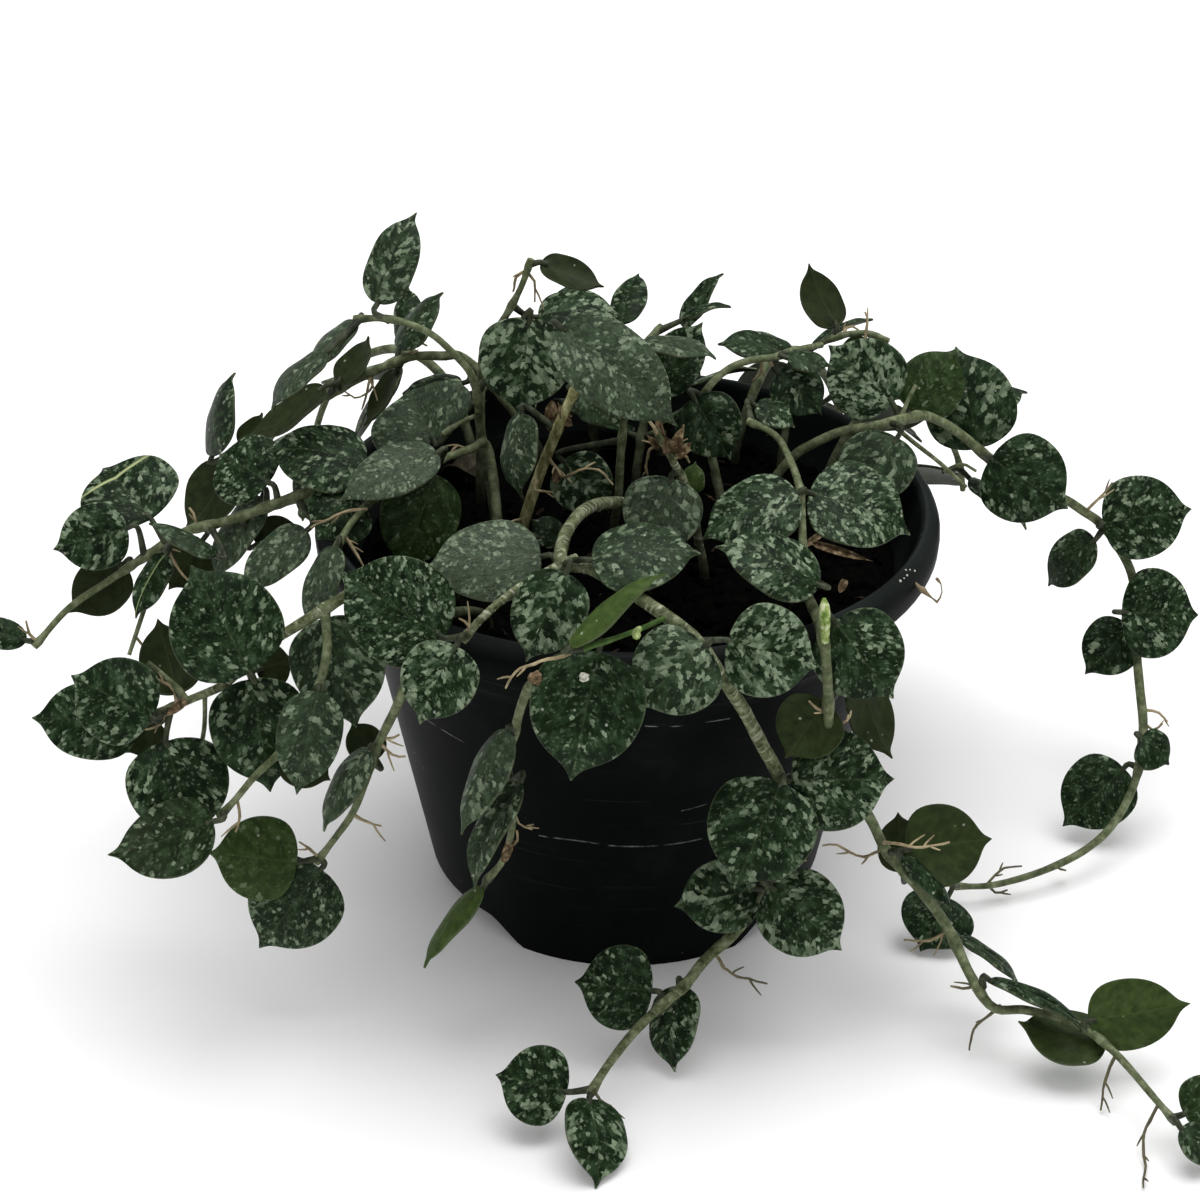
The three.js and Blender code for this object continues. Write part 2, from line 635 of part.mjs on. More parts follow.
vine('vine_left_outer', [
  stem(1.35, planted(-38, -26), seen(385, 576, 98), seen(360, 588, 99.5), seen(339, 600, 99),
    seen(300, 624, 95), seen(273, 641, 91), seen(248, 662, 86), seen(225, 684, 80),
    seen(189, 700, 75), seen(168, 709, 73), seen(153, 716, 72)),
  stem(SHOOT, seen(188, 699, 75), seen(168, 679, 79), seen(148, 662, 82)),
  stem(SHOOT, seen(205, 694, 77), seen(204, 730, 68), seen(198, 758, 63)),
  stem(STEM, seen(324, 610, 97.5), seen(327, 650, 91), seen(314, 700, 81), seen(290, 742, 73),
    seen(255, 776, 66), seen(235, 800, 61), seen(219, 817, 57)),
], [
  [seen(168, 709, 73), seen(160, 725, 68), seen(146, 730, 65)],
  [seen(180, 704, 74), seen(174, 690, 77), seen(164, 682, 79), seen(152, 678, 78)],
  [seen(235, 800, 61), seen(240, 818, 57), seen(236, 832, 53)],
], [
  leaf([250, 673], [192, 567], { wide: 0.95, node: [246, 664], deep: -2 }),
  leaf([251, 679], [270, 790], { wide: 0.88, node: [249, 662] }),
  leaf([152, 718], [72, 676], { wide: 0.98, deep: -2 }),
  leaf([140, 722], [32, 718], { wide: 0.74, deep: 9 }),
  leaf([166, 741], [195, 840], { wide: 1, node: [170, 709] }),
  leaf([160, 723], [126, 752], { wide: 1.1, deep: 12, under: true }),
  leaf([178, 694], [158, 620], { deep: 12, under: true, wide: 0.8 }),
  leaf([214, 822], [111, 856], { wide: 0.8, turn: 30, under: true }),
  leaf([318, 692], [297, 793], { wide: 0.8, deep: 3 }),
  leaf([325, 618], [356, 726], { wide: 0.85, deep: 4, node: [324, 612] }),
  leaf([256, 670], [293, 659], { wide: 1.2, deep: 7, under: true }),
  leaf([284, 752], [330, 780], { deep: 12, under: true }),
]);

vine('vine_left_front', [
  stem(STEM, planted(-30, -38), seen(440, 618, 98), seen(430, 634, 98.5), seen(415, 658, 96),
    seen(403, 690, 88), seen(396, 708, 82), seen(378, 745, 71), seen(365, 782, 61),
    seen(352, 814, 51), seen(335, 838, 44), seen(316, 863, 38)),
], [
  [seen(382, 738, 73), seen(390, 739, 72), seen(400, 735, 73)],
  [seen(381, 742, 72), seen(392, 756, 68), seen(406, 756, 68)],
  [seen(352, 814, 51), seen(364, 821, 49), seen(381, 826, 47)],
  [seen(318, 860, 39), seen(308, 848, 42), seen(299, 843, 44)],
], [
  leaf([369, 749], [322, 829], { wide: 0.8, turn: 45 }),
  leaf([297, 862], [210, 853], { wide: 0.98 }),
  leaf([321, 869], [260, 947], { wide: 0.98 }),
  leaf([376, 760], [352, 722], { deep: 9, under: true, turn: 20 }),
]);

vine('vine_far_left', [
  stem(STEM, planted(-44, -6), seen(403, 478, 102), seen(385, 478, 103.5),
    seen(358, 480, 104), seen(325, 486, 103), seen(296, 497, 101), seen(264, 508, 98),
    seen(223, 522, 94), seen(184, 532, 90), seen(163, 545, 87), seen(140, 560, 84),
    seen(110, 580, 80), seen(69, 608, 75), seen(34, 647, 69)),
  stem(SHOOT, seen(165, 544, 87), seen(152, 585, 79), seen(142, 616, 74), seen(129, 655, 67)),
], [
  [seen(166, 544, 87), seen(174, 562, 82), seen(188, 581, 78)],
  [seen(188, 531, 90), seen(196, 522, 92), seen(190, 508, 95)],
  [seen(34, 646, 69), seen(30, 634, 72), seen(26, 621, 75)],
  [seen(134, 640, 69), seen(150, 652, 66), seen(172, 660, 65), seen(180, 680, 61)],
], [
  leaf([150, 517], [102, 464], { wide: 1.1, tilt: 35, turn: 15 }),
  leaf([127, 528], [54, 549], { wide: 0.9, turn: 8 }),
  leaf([124, 564], [72, 613], { wide: 0.85, turn: 20, under: true }),
  leaf([166, 554], [135, 617], { wide: 0.8, turn: 42 }),
  leaf([217, 555], [150, 524], { turn: 62, deep: -3, wide: 0.8 }),
  leaf([203, 540], [170, 589], { deep: 7, under: true, turn: 10 }),
  leaf([268, 482], [218, 453], { wide: 1.25, tilt: 35, turn: 10 }),
  leaf([261, 497], [211, 579], { wide: 0.8, turn: 50 }),
  leaf([306, 530], [241, 590], { wide: 0.8, turn: 35 }),
  leaf([256, 545], [300, 526], { deep: 9, under: true }),
  leaf([26, 640], [-50, 622], { wide: 0.85, turn: 20 }),
]);

vine('vine_pot_front', [
  stem(STEM, planted(-10, -40), seen(588, 632, 99), seen(578, 650, 99.5), seen(565, 664, 98),
    seen(546, 674, 96), seen(532, 683, 93), seen(524, 698, 88), seen(515, 730, 78),
    seen(508, 770, 67), seen(513, 818, 54), seen(503, 860, 43), seen(485, 882, 37)),
], [
  [seen(510, 845, 47), seen(517, 843, 47), seen(516, 830, 51)],
  [seen(511, 800, 59), seen(521, 825, 51), seen(531, 829, 50)],
], [
  leaf([507, 730], [463, 833], { wide: 0.72, turn: 48 }),
  leaf([519, 782], [468, 887], { wide: 0.7, turn: 50 }),
  leaf([482, 887], [424, 966], { wide: 0.72, turn: 60 }),
]);

vine('vine_right_front', [
  stem(STEM, planted(36, -34), seen(806, 594, 99.5), seen(812, 606, 99.2),
    seen(820, 625, 97.5), seen(825, 650, 92.5), seen(828, 690, 80), seen(829, 725, 72),
    seen(838, 765, 61), seen(855, 795, 54), seen(871, 820, 48), seen(887, 852, 41),
    seen(914, 882, 34), seen(946, 925, 25), seen(972, 978, 18), seen(994, 1008, 14.5),
    seen(1026, 1010, 14), seen(1080, 1026, 12.5), seen(1112, 1050, 11),
    seen(1157, 1101, 8.5), seen(1176, 1123, 7.5)),
  stem(STEM, seen(808, 598, 99.5), seen(806, 575, 104), seen(803, 545, 108),
    seen(802, 520, 111), seen(800, 490, 114), seen(790, 460, 117), seen(775, 435, 119),
    seen(748, 421, 120)),
  stem(1, seen(826, 652, 92), seen(825, 624, 99), seen(824, 598, 104)),
], [
  [seen(828, 712, 75), seen(817, 708, 76), seen(808, 700, 78)],
  [seen(829, 714, 75), seen(838, 724, 72), seen(847, 722, 73), seen(850, 710, 76)],
  [seen(884, 838, 44), seen(896, 844, 46), seen(911, 847, 46), seen(950, 842, 46)],
  [seen(886, 848, 42), seen(862, 856, 37), seen(838, 846, 38), seen(822, 846, 38)],
  [seen(948, 932, 24), seen(930, 940, 22), seen(903, 940, 23)],
  [seen(974, 985, 17), seen(964, 990, 15), seen(950, 986, 16)],
  [seen(994, 1010, 14), seen(976, 1026, 9), seen(970, 1050, 2)],
  [seen(1114, 1057, 10), seen(1105, 1080, 6), seen(1100, 1111, 1)],
  [seen(1157, 1108, 8), seen(1144, 1136, 4), seen(1145, 1160, 1.5), seen(1143, 1187, 0.9)],
], [
  leaf([797, 493], [703, 537], { wide: 0.85, turn: 38 }),
  leaf([819, 584], [719, 543], { wide: 0.75, turn: 42, node: [806, 578] }),
  leaf([810, 492], [911, 529], { wide: 0.95, turn: 35 }),
  leaf([834, 621], [893, 698], { wide: 0.98, node: [825, 640] }),
  leaf([861, 677], [888, 758], { wide: 0.75, turn: 45, under: true, node: [829, 705], deep: 4 }),
  leaf([826, 703], [786, 757], { wide: 1.05, under: true, deep: 4 }),
  leaf([756, 405], [795, 426], { turn: 50, deep: 6 }),
  leaf([905, 850], [990, 839], { wide: 0.98, under: true, node: [887, 852] }),
  leaf([903, 872], [898, 813], { wide: 0.8, deep: 10, under: true }),
  leaf([903, 858], [953, 908], { wide: 0.7, turn: 52, node: [890, 856] }),
  leaf([960, 937], [1021, 983], { wide: 0.8, turn: 70, deep: 2 }),
  leaf([990, 979], [1084, 1026], { wide: 0.7, turn: 68, deep: 1 }),
  leaf([1106, 1041], [1018, 1027], { wide: 0.8, turn: 40, under: true, deep: 2 }),
  leaf([1089, 1021], [1187, 1004], { wide: 0.72, under: true }),
  leaf([1184, 1114], [1236, 1088], { wide: 1, deep: 2 }),
  leaf([1182, 1128], [1214, 1166], { wide: 0.9, turn: 45, deep: -2 }),
]);

vine('vine_back_right', [
  stem(STEM, planted(22, 8), seen(703, 405, 110), seen(708, 388, 115), seen(730, 368, 118),
    seen(752, 360, 119), seen(775, 357, 119), seen(800, 349, 118), seen(822, 345, 117)),
], [
  [seen(762, 358, 119), seen(760, 372, 115), seen(752, 380, 112)],
  [seen(768, 358, 119), seen(778, 372, 115), seen(782, 384, 111)],
], [
  leaf([694, 398], [730, 459], { wide: 0.95, deep: -2, node: [704, 400] }),
  leaf([781, 352], [719, 343], { turn: 62, deep: 5 }),
  leaf([792, 350], [738, 336], { turn: 72, deep: 12 }),
  leaf([788, 357], [830, 366], { turn: 58, deep: 2 }),
  leaf([779, 372], [822, 413], { deep: 4, turn: 15 }),
]);

vine('vine_right_trailer', [
  stem(STEM, planted(31, 17), seen(795, 455, 97), seen(815, 443, 100), seen(840, 432, 102),
    seen(880, 425, 103), seen(905, 419, 103), seen(927, 416, 101), seen(955, 430, 97),
    seen(985, 455, 91), seen(1010, 475, 86), seen(1040, 492, 80), seen(1066, 500, 75),
    seen(1083, 511, 71), seen(1101, 524, 66), seen(1120, 550, 60), seen(1131, 572, 55),
    seen(1137, 612, 46), seen(1137, 655, 38), seen(1140, 690, 31), seen(1143, 720, 26),
    seen(1142, 750, 21), seen(1132, 790, 15), seen(1110, 828, 10), seen(1085, 850, 7.5),
    seen(1050, 868, 6), seen(1015, 880, 5), seen(985, 886, 5), seen(950, 886, 5.5)),
  stem(SHOOT, seen(895, 422, 103), seen(912, 441, 99), seen(940, 463, 93), seen(966, 487, 87)),
  stem(SHOOT, seen(901, 419, 103), seen(908, 400, 107), seen(916, 385, 110)),
  stem(0.6, seen(928, 479, 86), seen(945, 471, 89), seen(962, 464, 91), seen(976, 471, 89)),
], [
  [seen(1084, 511, 71), seen(1098, 500, 74), seen(1112, 482, 79)],
  [seen(1141, 708, 28), seen(1158, 712, 27), seen(1168, 722, 25)],
  [seen(1143, 722, 26), seen(1154, 730, 24), seen(1162, 724, 26)],
  [seen(1066, 860, 6.5), seen(1056, 868, 4), seen(1066, 870, 3)],
  [seen(990, 885, 5), seen(1002, 870, 7), seen(1022, 866, 7)],
  [seen(990, 886, 5), seen(997, 893, 2.5), seen(1008, 890, 3)],
], [
  leaf([893, 403], [830, 346], { wide: 1, turn: 12, node: [899, 420] }),
  leaf([897, 437], [852, 506], { wide: 1.08, turn: 10, node: [892, 423], deep: 3 }),
  leaf([913, 412], [955, 350], { wide: 0.9, deep: 8 }),
  leaf([980, 448], [956, 348], { wide: 0.9, node: [982, 453], deep: -2 }),
  leaf([991, 458], [1067, 508], { wide: 1.0 }),
  leaf([1103, 523], [1191, 509], { wide: 0.95 }),
  leaf([1094, 540], [1045, 584], { wide: 1.05, tilt: 30, turn: 38 }),
  leaf([1122, 612], [1198, 615], { wide: 1.2 }),
  leaf([1130, 626], [1086, 673], { wide: 0.92, node: [1137, 640] }),
  leaf([1141, 738], [1169, 764], { wide: 1.5, turn: 45 }),
  leaf([1124, 768], [1064, 825], { wide: 0.9, node: [1139, 765] }),
  leaf([948, 897], [921, 950], { wide: 1.25 }),
]);

vine('vine_top_right', [
  stem(STEM, planted(36, 34), seen(803, 358, 110), seen(818, 345, 114.5), seen(836, 337, 117),
    seen(865, 333, 118), seen(889, 341, 117)),
], [
  [seen(868, 333, 118), seen(867, 320, 121), seen(864, 311, 123)],
  [seen(842, 336, 117), seen(850, 326, 119), seen(858, 330, 118)],
], [
  leaf([836, 327], [807, 266], { turn: 32, under: true }),
  leaf([871, 342], [842, 372], { deep: 10, under: true }),
]);

vine('vine_left_mid', [
  stem(STEM, planted(-28, -15), seen(486, 444, 105), seen(471, 449, 107),
    seen(436, 462, 107), seen(395, 487, 105.5), seen(370, 502, 103.5), seen(352, 522, 101),
    seen(338, 545, 98.5), seen(326, 572, 95)),
], [
  [seen(345, 536, 99.5), seen(356, 552, 96), seen(368, 574, 92)],
  [seen(362, 506, 103), seen(338, 514, 103), seen(311, 527, 101)],
  [seen(472, 449, 107), seen(455, 446, 109), seen(448, 456, 107)],
], [
  leaf([437, 452], [340, 500], { wide: 0.78, turn: 35 }),
  leaf([433, 474], [402, 571], { deep: 9, wide: 0.8 }),
  leaf([336, 547], [309, 629], { wide: 0.85, turn: 50 }),
  leaf([366, 463], [267, 449], { wide: 0.85, turn: 38, node: [380, 495], deep: 4 }),
  leaf([355, 497], [318, 538], { wide: 1.25, deep: 5 }),
]);

// Stems at the back of the pot, which the front view hides.
const HIDDEN = [
  ['vine_back_left', 7, [planted(-36, 36), mm(-44, 50, 102), mm(-56, 64, 103),
    mm(-70, 76, 92), mm(-79, 84, 72), mm(-82, 88, 50)]],
  ['vine_back_mid_left', 11, [planted(-8, 48), mm(-14, 62, 103), mm(-20, 76, 101),
    mm(-27, 90, 84), mm(-31, 97, 62), mm(-33, 99, 40)]],
  ['vine_back_mid', 19, [planted(8, 46), mm(10, 60, 103), mm(12, 76, 101), mm(16, 92, 85),
    mm(18, 100, 62), mm(16, 104, 36)]],
  ['vine_back_mid_right', 23, [planted(26, 44), mm(34, 58, 103), mm(42, 70, 100),
    mm(52, 84, 82), mm(56, 90, 58), mm(58, 94, 34)]],
  ['vine_back_right_side', 29, [planted(46, 26), mm(57, 38, 101), mm(68, 46, 99),
    mm(80, 54, 80), mm(84, 58, 56)]],
  ['vine_crown_back', 31, [planted(2, 28), mm(4, 34, 104), mm(2, 40, 114), mm(-8, 48, 118),
    mm(-20, 54, 114)]],
];
const LEAF_PAIR_SPACING = 27;

const FIRST_PAIR = 26;            // how far from the stem's foot
const LEAF_SHORTEST = 18;
const LEAF_VARIES = 6;

for (const [name, seed, points] of HIDDEN) {
  const draw = seeded(seed * 7919);
  const path = points.flat();
  const reach = curveThrough(path).getLength();
  const leaves = [];
  for (let along = FIRST_PAIR; along < reach; along += LEAF_PAIR_SPACING) {
    // Each pair stands across the one before it, roughly.
    const round = draw() * 0.8 - 0.4 + (leaves.length % 4 === 0 ? 0 : 0.9);
    for (const half of [0, Math.PI]) {
      leaves.push({
        grown: true,
        share: along / reach,
        round: round + half,
        lift: 0.15 - 0.5 * draw(),
        length: LEAF_SHORTEST + LEAF_VARIES * draw(),
      });
    }
  }
  vine(name, [stem(STEM, path)], [], []);
  vines[vines.length - 1].grown = leaves;
}

const STEM_SIDES = 5;
const ROOT_SIDES = 3;
const STEM_STEP = 12;             // length of a stem's straight stretches
const ROOT_STEP = 14;
const LINE_POINTS_APART = 1.5;
const HOLE_SIDES = 6;
const HOLE_SPARE = 0.6;
const HOLE_LENGTH = 40;

// A dried, curled leaf that has dropped on the soil.
const driedBase = seen(444, 474, DRIED_HEIGHT);
const driedTip = seen(489, 488, DRIED_HEIGHT);
const driedLength = driedBase.distanceTo(driedTip);
const driedLeaf = blade({
  base: driedBase,
  axis: driedTip.clone().sub(driedBase).normalize(),
  facing: mm(0, 0, 1),
  length: driedLength,
  width: driedLength * DRIED_WIDTH,
  arch: DRIED_CURL,
}, BLADE, 1);

keepClear('', 'pot', pot);
keepClear('', 'soil', soil);
keepClear('', 'leaf', driedLeaf);

// Points close together along the middle of a stem's tube.
function middleOf(points) {
  const curve = curveThrough(points);
  const bends = curve.getSpacedPoints(stepsAlong(curve, STEM_STEP));
  const middle = [bends[0]];
  for (let i = 1; i < bends.length; i += 1) {
    const count = Math.ceil(bends[i].distanceTo(bends[i - 1]) / LINE_POINTS_APART);
    for (let k = 1; k <= count; k += 1) {
      middle.push(bends[i - 1].clone().lerp(bends[i], k / count));
    }
  }
  return middle;
}

for (const each of vines) {
  each.line = [];
  // A side shoot or a root starts in the middle of the stem it grows from.
  const rooted = (points) => {
    if (!each.body) return points;
    return [nearest(each.line, (point) => point.distanceTo(points[0])), ...points.slice(1)];
  };
  const grow = (kind, points, body) => {
    each.body = each.body ? each.body.add(body) : body;
    if (kind === 'stem') each.line.push(...middleOf(points).slice(0, -1));
    keepClear(each.name, kind, body);
  };
  for (const { radius, points } of each.stems) {
    const path = rooted(points);
    grow('stem', path, tube(path, radius, STEM_SIDES, STEM_STEP));
  }
  for (const points of each.roots) {
    const path = rooted(points);
    grow('root', path, tube(path, ROOT, ROOT_SIDES, ROOT_STEP));
  }
  const [x, y] = each.stems[0].points[0].toArray();
  const wide = (each.stems[0].radius + GAP) / Math.cos(Math.PI / HOLE_SIDES) + HOLE_SPARE;
  const hole = new THREE.CylinderGeometry(wide, wide, HOLE_LENGTH, HOLE_SIDES);
  hole.rotateX(Math.PI / 2).translate(x, y, HOLE_BOTTOM + HOLE_LENGTH / 2);
  soil = soil.subtract(solid(hole));
}

function addLeaf(each, pose) {
  each.body = each.body.add(wholeLeaf(pose));
  keepClear(each.name, 'blade', blade(pose, BLADE, 1));
  petioleRods(pose, PETIOLE).forEach((rod) => keepClear(each.name, 'petiole', rod));
}

for (const each of vines) {
  for (const row of each.leaves) {
    const pose = settle(row, each, poseSeen);
    if (pose) addLeaf(each, pose);
  }
}
for (const each of vines) {
  for (const row of each.grown ?? []) {
    const pose = settle(row, each, poseGrown);
    if (pose) addLeaf(each, pose);
  }
}

// ------------------------------------------------------------ the object

addPiece('pot', pot, '#141716', 0.5);
addPiece('soil', soil, '#17130f', 0.95);
addPiece('dried_leaf', driedLeaf, '#4d3f2a', 0.8);
for (const each of vines) {
  addPiece(each.name, mainBody(each.body), '#33472f', 0.5);
}

const plant = new THREE.Group();
plant.add(...named);

export default plant;
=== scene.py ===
"""A potted hoya: a round black nursery pot, its potting mix, and the leafy vines that
stand in it, arch over its rim and trail down to the table. Metres, +Z up."""
import math
import random

import bmesh
import bpy
import numpy
from mathutils import Matrix, Vector, noise
from mathutils.kdtree import KDTree


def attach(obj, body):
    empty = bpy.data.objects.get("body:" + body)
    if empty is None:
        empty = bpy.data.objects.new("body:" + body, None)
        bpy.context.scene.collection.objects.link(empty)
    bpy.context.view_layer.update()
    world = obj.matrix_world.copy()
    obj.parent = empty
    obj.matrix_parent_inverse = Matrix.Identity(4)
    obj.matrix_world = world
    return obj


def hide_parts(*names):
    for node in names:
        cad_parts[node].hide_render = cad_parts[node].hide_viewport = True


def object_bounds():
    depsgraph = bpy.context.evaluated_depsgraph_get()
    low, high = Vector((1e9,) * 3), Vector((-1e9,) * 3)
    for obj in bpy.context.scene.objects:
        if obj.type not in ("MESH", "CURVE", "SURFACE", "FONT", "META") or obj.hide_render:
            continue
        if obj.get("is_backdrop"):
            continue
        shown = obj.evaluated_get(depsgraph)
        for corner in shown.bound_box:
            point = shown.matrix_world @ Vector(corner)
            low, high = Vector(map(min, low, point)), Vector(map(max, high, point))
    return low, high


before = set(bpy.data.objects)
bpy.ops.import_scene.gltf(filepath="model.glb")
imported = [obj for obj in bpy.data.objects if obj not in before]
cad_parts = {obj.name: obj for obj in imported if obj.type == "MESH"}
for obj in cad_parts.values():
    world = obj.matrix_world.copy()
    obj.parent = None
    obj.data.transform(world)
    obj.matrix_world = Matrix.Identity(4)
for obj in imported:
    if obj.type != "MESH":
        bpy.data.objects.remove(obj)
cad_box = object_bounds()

bpy.ops.object.select_all(action="DESELECT")

# ------------------------------------------------------------ table, light and camera
# A pale paper table top that runs out of view, under one wide soft light overhead and
# an even pale room. The camera looks down at the front of the pot from table height.

MM = 0.001
EYE = Vector((0, -560, 391.4)) * MM
EYE_DOWN = math.radians(29.86)
EYE_LEFT = math.radians(0.624)
EYE_FOCUS = 2825.3          # of a picture 1200 wide and 1200 high, in its own pixels
PICTURE_MIDDLE = 600

bpy.ops.object.camera_add(location=EYE, rotation=(math.pi / 2 - EYE_DOWN, 0, EYE_LEFT))
camera = bpy.context.object
camera.name = "front_camera"
camera.data.sensor_width = 36
camera.data.lens = 36 * EYE_FOCUS / (2 * PICTURE_MIDDLE)
bpy.context.scene.camera = camera
bpy.context.scene.view_settings.view_transform = "Standard"


def linear(colour):
    """A linear colour from sRGB hex."""
    parts = [int(colour[k:k + 2], 16) / 255 for k in (1, 3, 5)]
    return [p / 12.92 if p <= 0.04045 else ((p + 0.055) / 1.055) ** 2.4 for p in parts] + [1]


def add(made, kind, settings=None, links=None):
    """Adds a shader node with its settings and what feeds its inputs, each a socket, or a
    node, which stands for its first output."""
    node = made.node_tree.nodes.new("ShaderNode" + kind)
    for name, value in (settings or {}).items():
        if name == "stops":
            ramp = node.color_ramp.elements
            while len(ramp) < len(value):
                ramp.new(0.5)
            for stop, (place, colour) in zip(ramp, value):
                stop.position = place
                stop.color = linear(colour)
        elif isinstance(name, str) and hasattr(node, name):
            setattr(node, name, value)
        else:
            node.inputs[name].default_value = value
    for name, source in (links or {}).items():
        socket = source.outputs[0] if isinstance(source, bpy.types.Node) else source
        made.node_tree.links.new(socket, node.inputs[name])
    return node


def start_material(name, roughness, specular):
    """A new material, and how rough and how glossy it is."""
    made = bpy.data.materials.new(name)
    made.use_nodes = True
    shader = made.node_tree.nodes["Principled BSDF"]
    shader.inputs["Roughness"].default_value = roughness
    shader.inputs["Specular IOR Level"].default_value = specular
    return made


def dress(made, colour, relief=None, gloss=None):
    """Feeds a material's shader with the nodes of its colour, relief and roughness."""
    shader = made.node_tree.nodes["Principled BSDF"]
    for name, node in (("Base Color", colour), ("Normal", relief), ("Roughness", gloss)):
        if node:
            made.node_tree.links.new(node.outputs[0], shader.inputs[name])


def cloudy(name, roughness, specular, grain, stops, detail=3, rough=0.5, relief=None):
    """A material in cloudy shades, which follow a noise with a grain in metres. Its relief
    is the strength and the depth in metres of a bump from the same noise."""
    made = start_material(name, roughness, specular)
    where = add(made, "TexCoord").outputs["Object"]
    cloud = add(made, "TexNoise", {"Scale": 1 / grain, "Detail": detail, "Roughness": rough},
                {"Vector": where})
    shade = add(made, "ValToRGB", {"stops": stops}, {"Fac": cloud})
    bump = None
    if relief:
        bump = add(made, "Bump", {"Strength": relief[0], "Distance": relief[1]}, {"Height": cloud})
    dress(made, shade, bump)
    return made


bpy.ops.mesh.primitive_plane_add(size=8, location=(0, 1.5, 0))
table = bpy.context.object
table.name = "paper_table"
bpy.ops.object.transform_apply(location=True, rotation=True, scale=True)
# Uncoated white paper: even and matt, with the faintest cloudiness.
white_paper = cloudy("uncoated white paper", 0.9, 0.2, 0.4, [(0.3, "#fafafa"), (0.7, "#ffffff")], detail=2)
table.data.materials.append(white_paper)
table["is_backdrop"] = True

bpy.ops.object.light_add(type="AREA", location=(0.12, 0.18, 1.3),
                         rotation=(math.radians(-8), math.radians(5), 0))
overhead = bpy.context.object
overhead.name = "overhead_softbox"
overhead.data.size = 1.1
overhead.data.energy = 12.5
room = bpy.data.worlds.new("pale room")
bpy.context.scene.world = room
room.use_nodes = True
room.node_tree.nodes["Background"].inputs["Color"].default_value = (1, 1, 1, 1)
# The room is pale, and darker where a gloss would mirror it, as beside a lit table.
seen_by = add(room, "LightPath")
mirrored = add(room, "MapRange", {"To Min": 0.75, "To Max": 0.12},
               {"Value": seen_by.outputs["Is Glossy Ray"]})
room.node_tree.links.new(mirrored.outputs["Result"],
                         room.node_tree.nodes["Background"].inputs["Strength"])

# ---------------------------------------------------------------------------- the pot
# A thin-walled nursery pot: one injection moulding in black polypropylene, with a
# stepped collar, a rolled-over lip and three drainage notches around its foot.

POT_SIDES = 96
# Radius and height in mm of each ring, from the foot up the outside and down the inside.
POT_RINGS = [
    (45, 0), (45.3, 1.6), (52, 36), (59.6, 75), (60, 77), (60.6, 77.9), (62, 78.6),
    (62.5, 79.4), (63.1, 83), (64, 87.6), (64.6, 87.9), (68.4, 86.9), (69.3, 87.3),
    (69.8, 88.6), (70, 91), (69.9, 92.6), (69.4, 94), (68.5, 95.2), (67.4, 95.9),
    (66.6, 95.9), (66, 95.4), (65.5, 94.4), (64, 90), (60.5, 81), (57, 77), (43, 2.5),
]
NOTCH_SPAN = 59             # degrees
NOTCH_SLOPE = 14            # over which each end of a notch slopes up
NOTCH_FIRST = -58.5
NOTCH_COUNT = 3
NOTCH_HEIGHT = 6.5
NOTCH_RING = (43, 10)       # the middle radius and the breadth of the ring that cuts it
NOTCH_UNDER = 0.4           # how far under the table the ring's ends slope


def raise_rings(name, rings, sides):
    """A round body raised by hand from a disc: the disc is drawn up ring by ring."""
    radius, height = rings[0]
    bpy.ops.mesh.primitive_circle_add(
        vertices=sides, radius=radius * MM, fill_type="NGON", location=(0, 0, height * MM))
    body = bpy.context.object
    body.name = name
    bpy.ops.object.mode_set(mode="EDIT")
    bpy.ops.mesh.select_all(action="SELECT")
    for (r0, z0), (r1, z1) in zip(rings, rings[1:]):
        bpy.ops.mesh.extrude_region_move(TRANSFORM_OT_translate={"value": (0, 0, (z1 - z0) * MM)})
        bpy.ops.transform.resize(value=(r1 / r0, r1 / r0, 1), center_override=(0, 0, 0))
    bpy.ops.mesh.select_all(action="SELECT")
    bpy.ops.mesh.normals_make_consistent(inside=False)
    bpy.ops.object.mode_set(mode="OBJECT")
    bpy.ops.object.transform_apply(location=True, rotation=True, scale=True)
    return body


pot = raise_rings("nursery_pot", POT_RINGS, POT_SIDES)

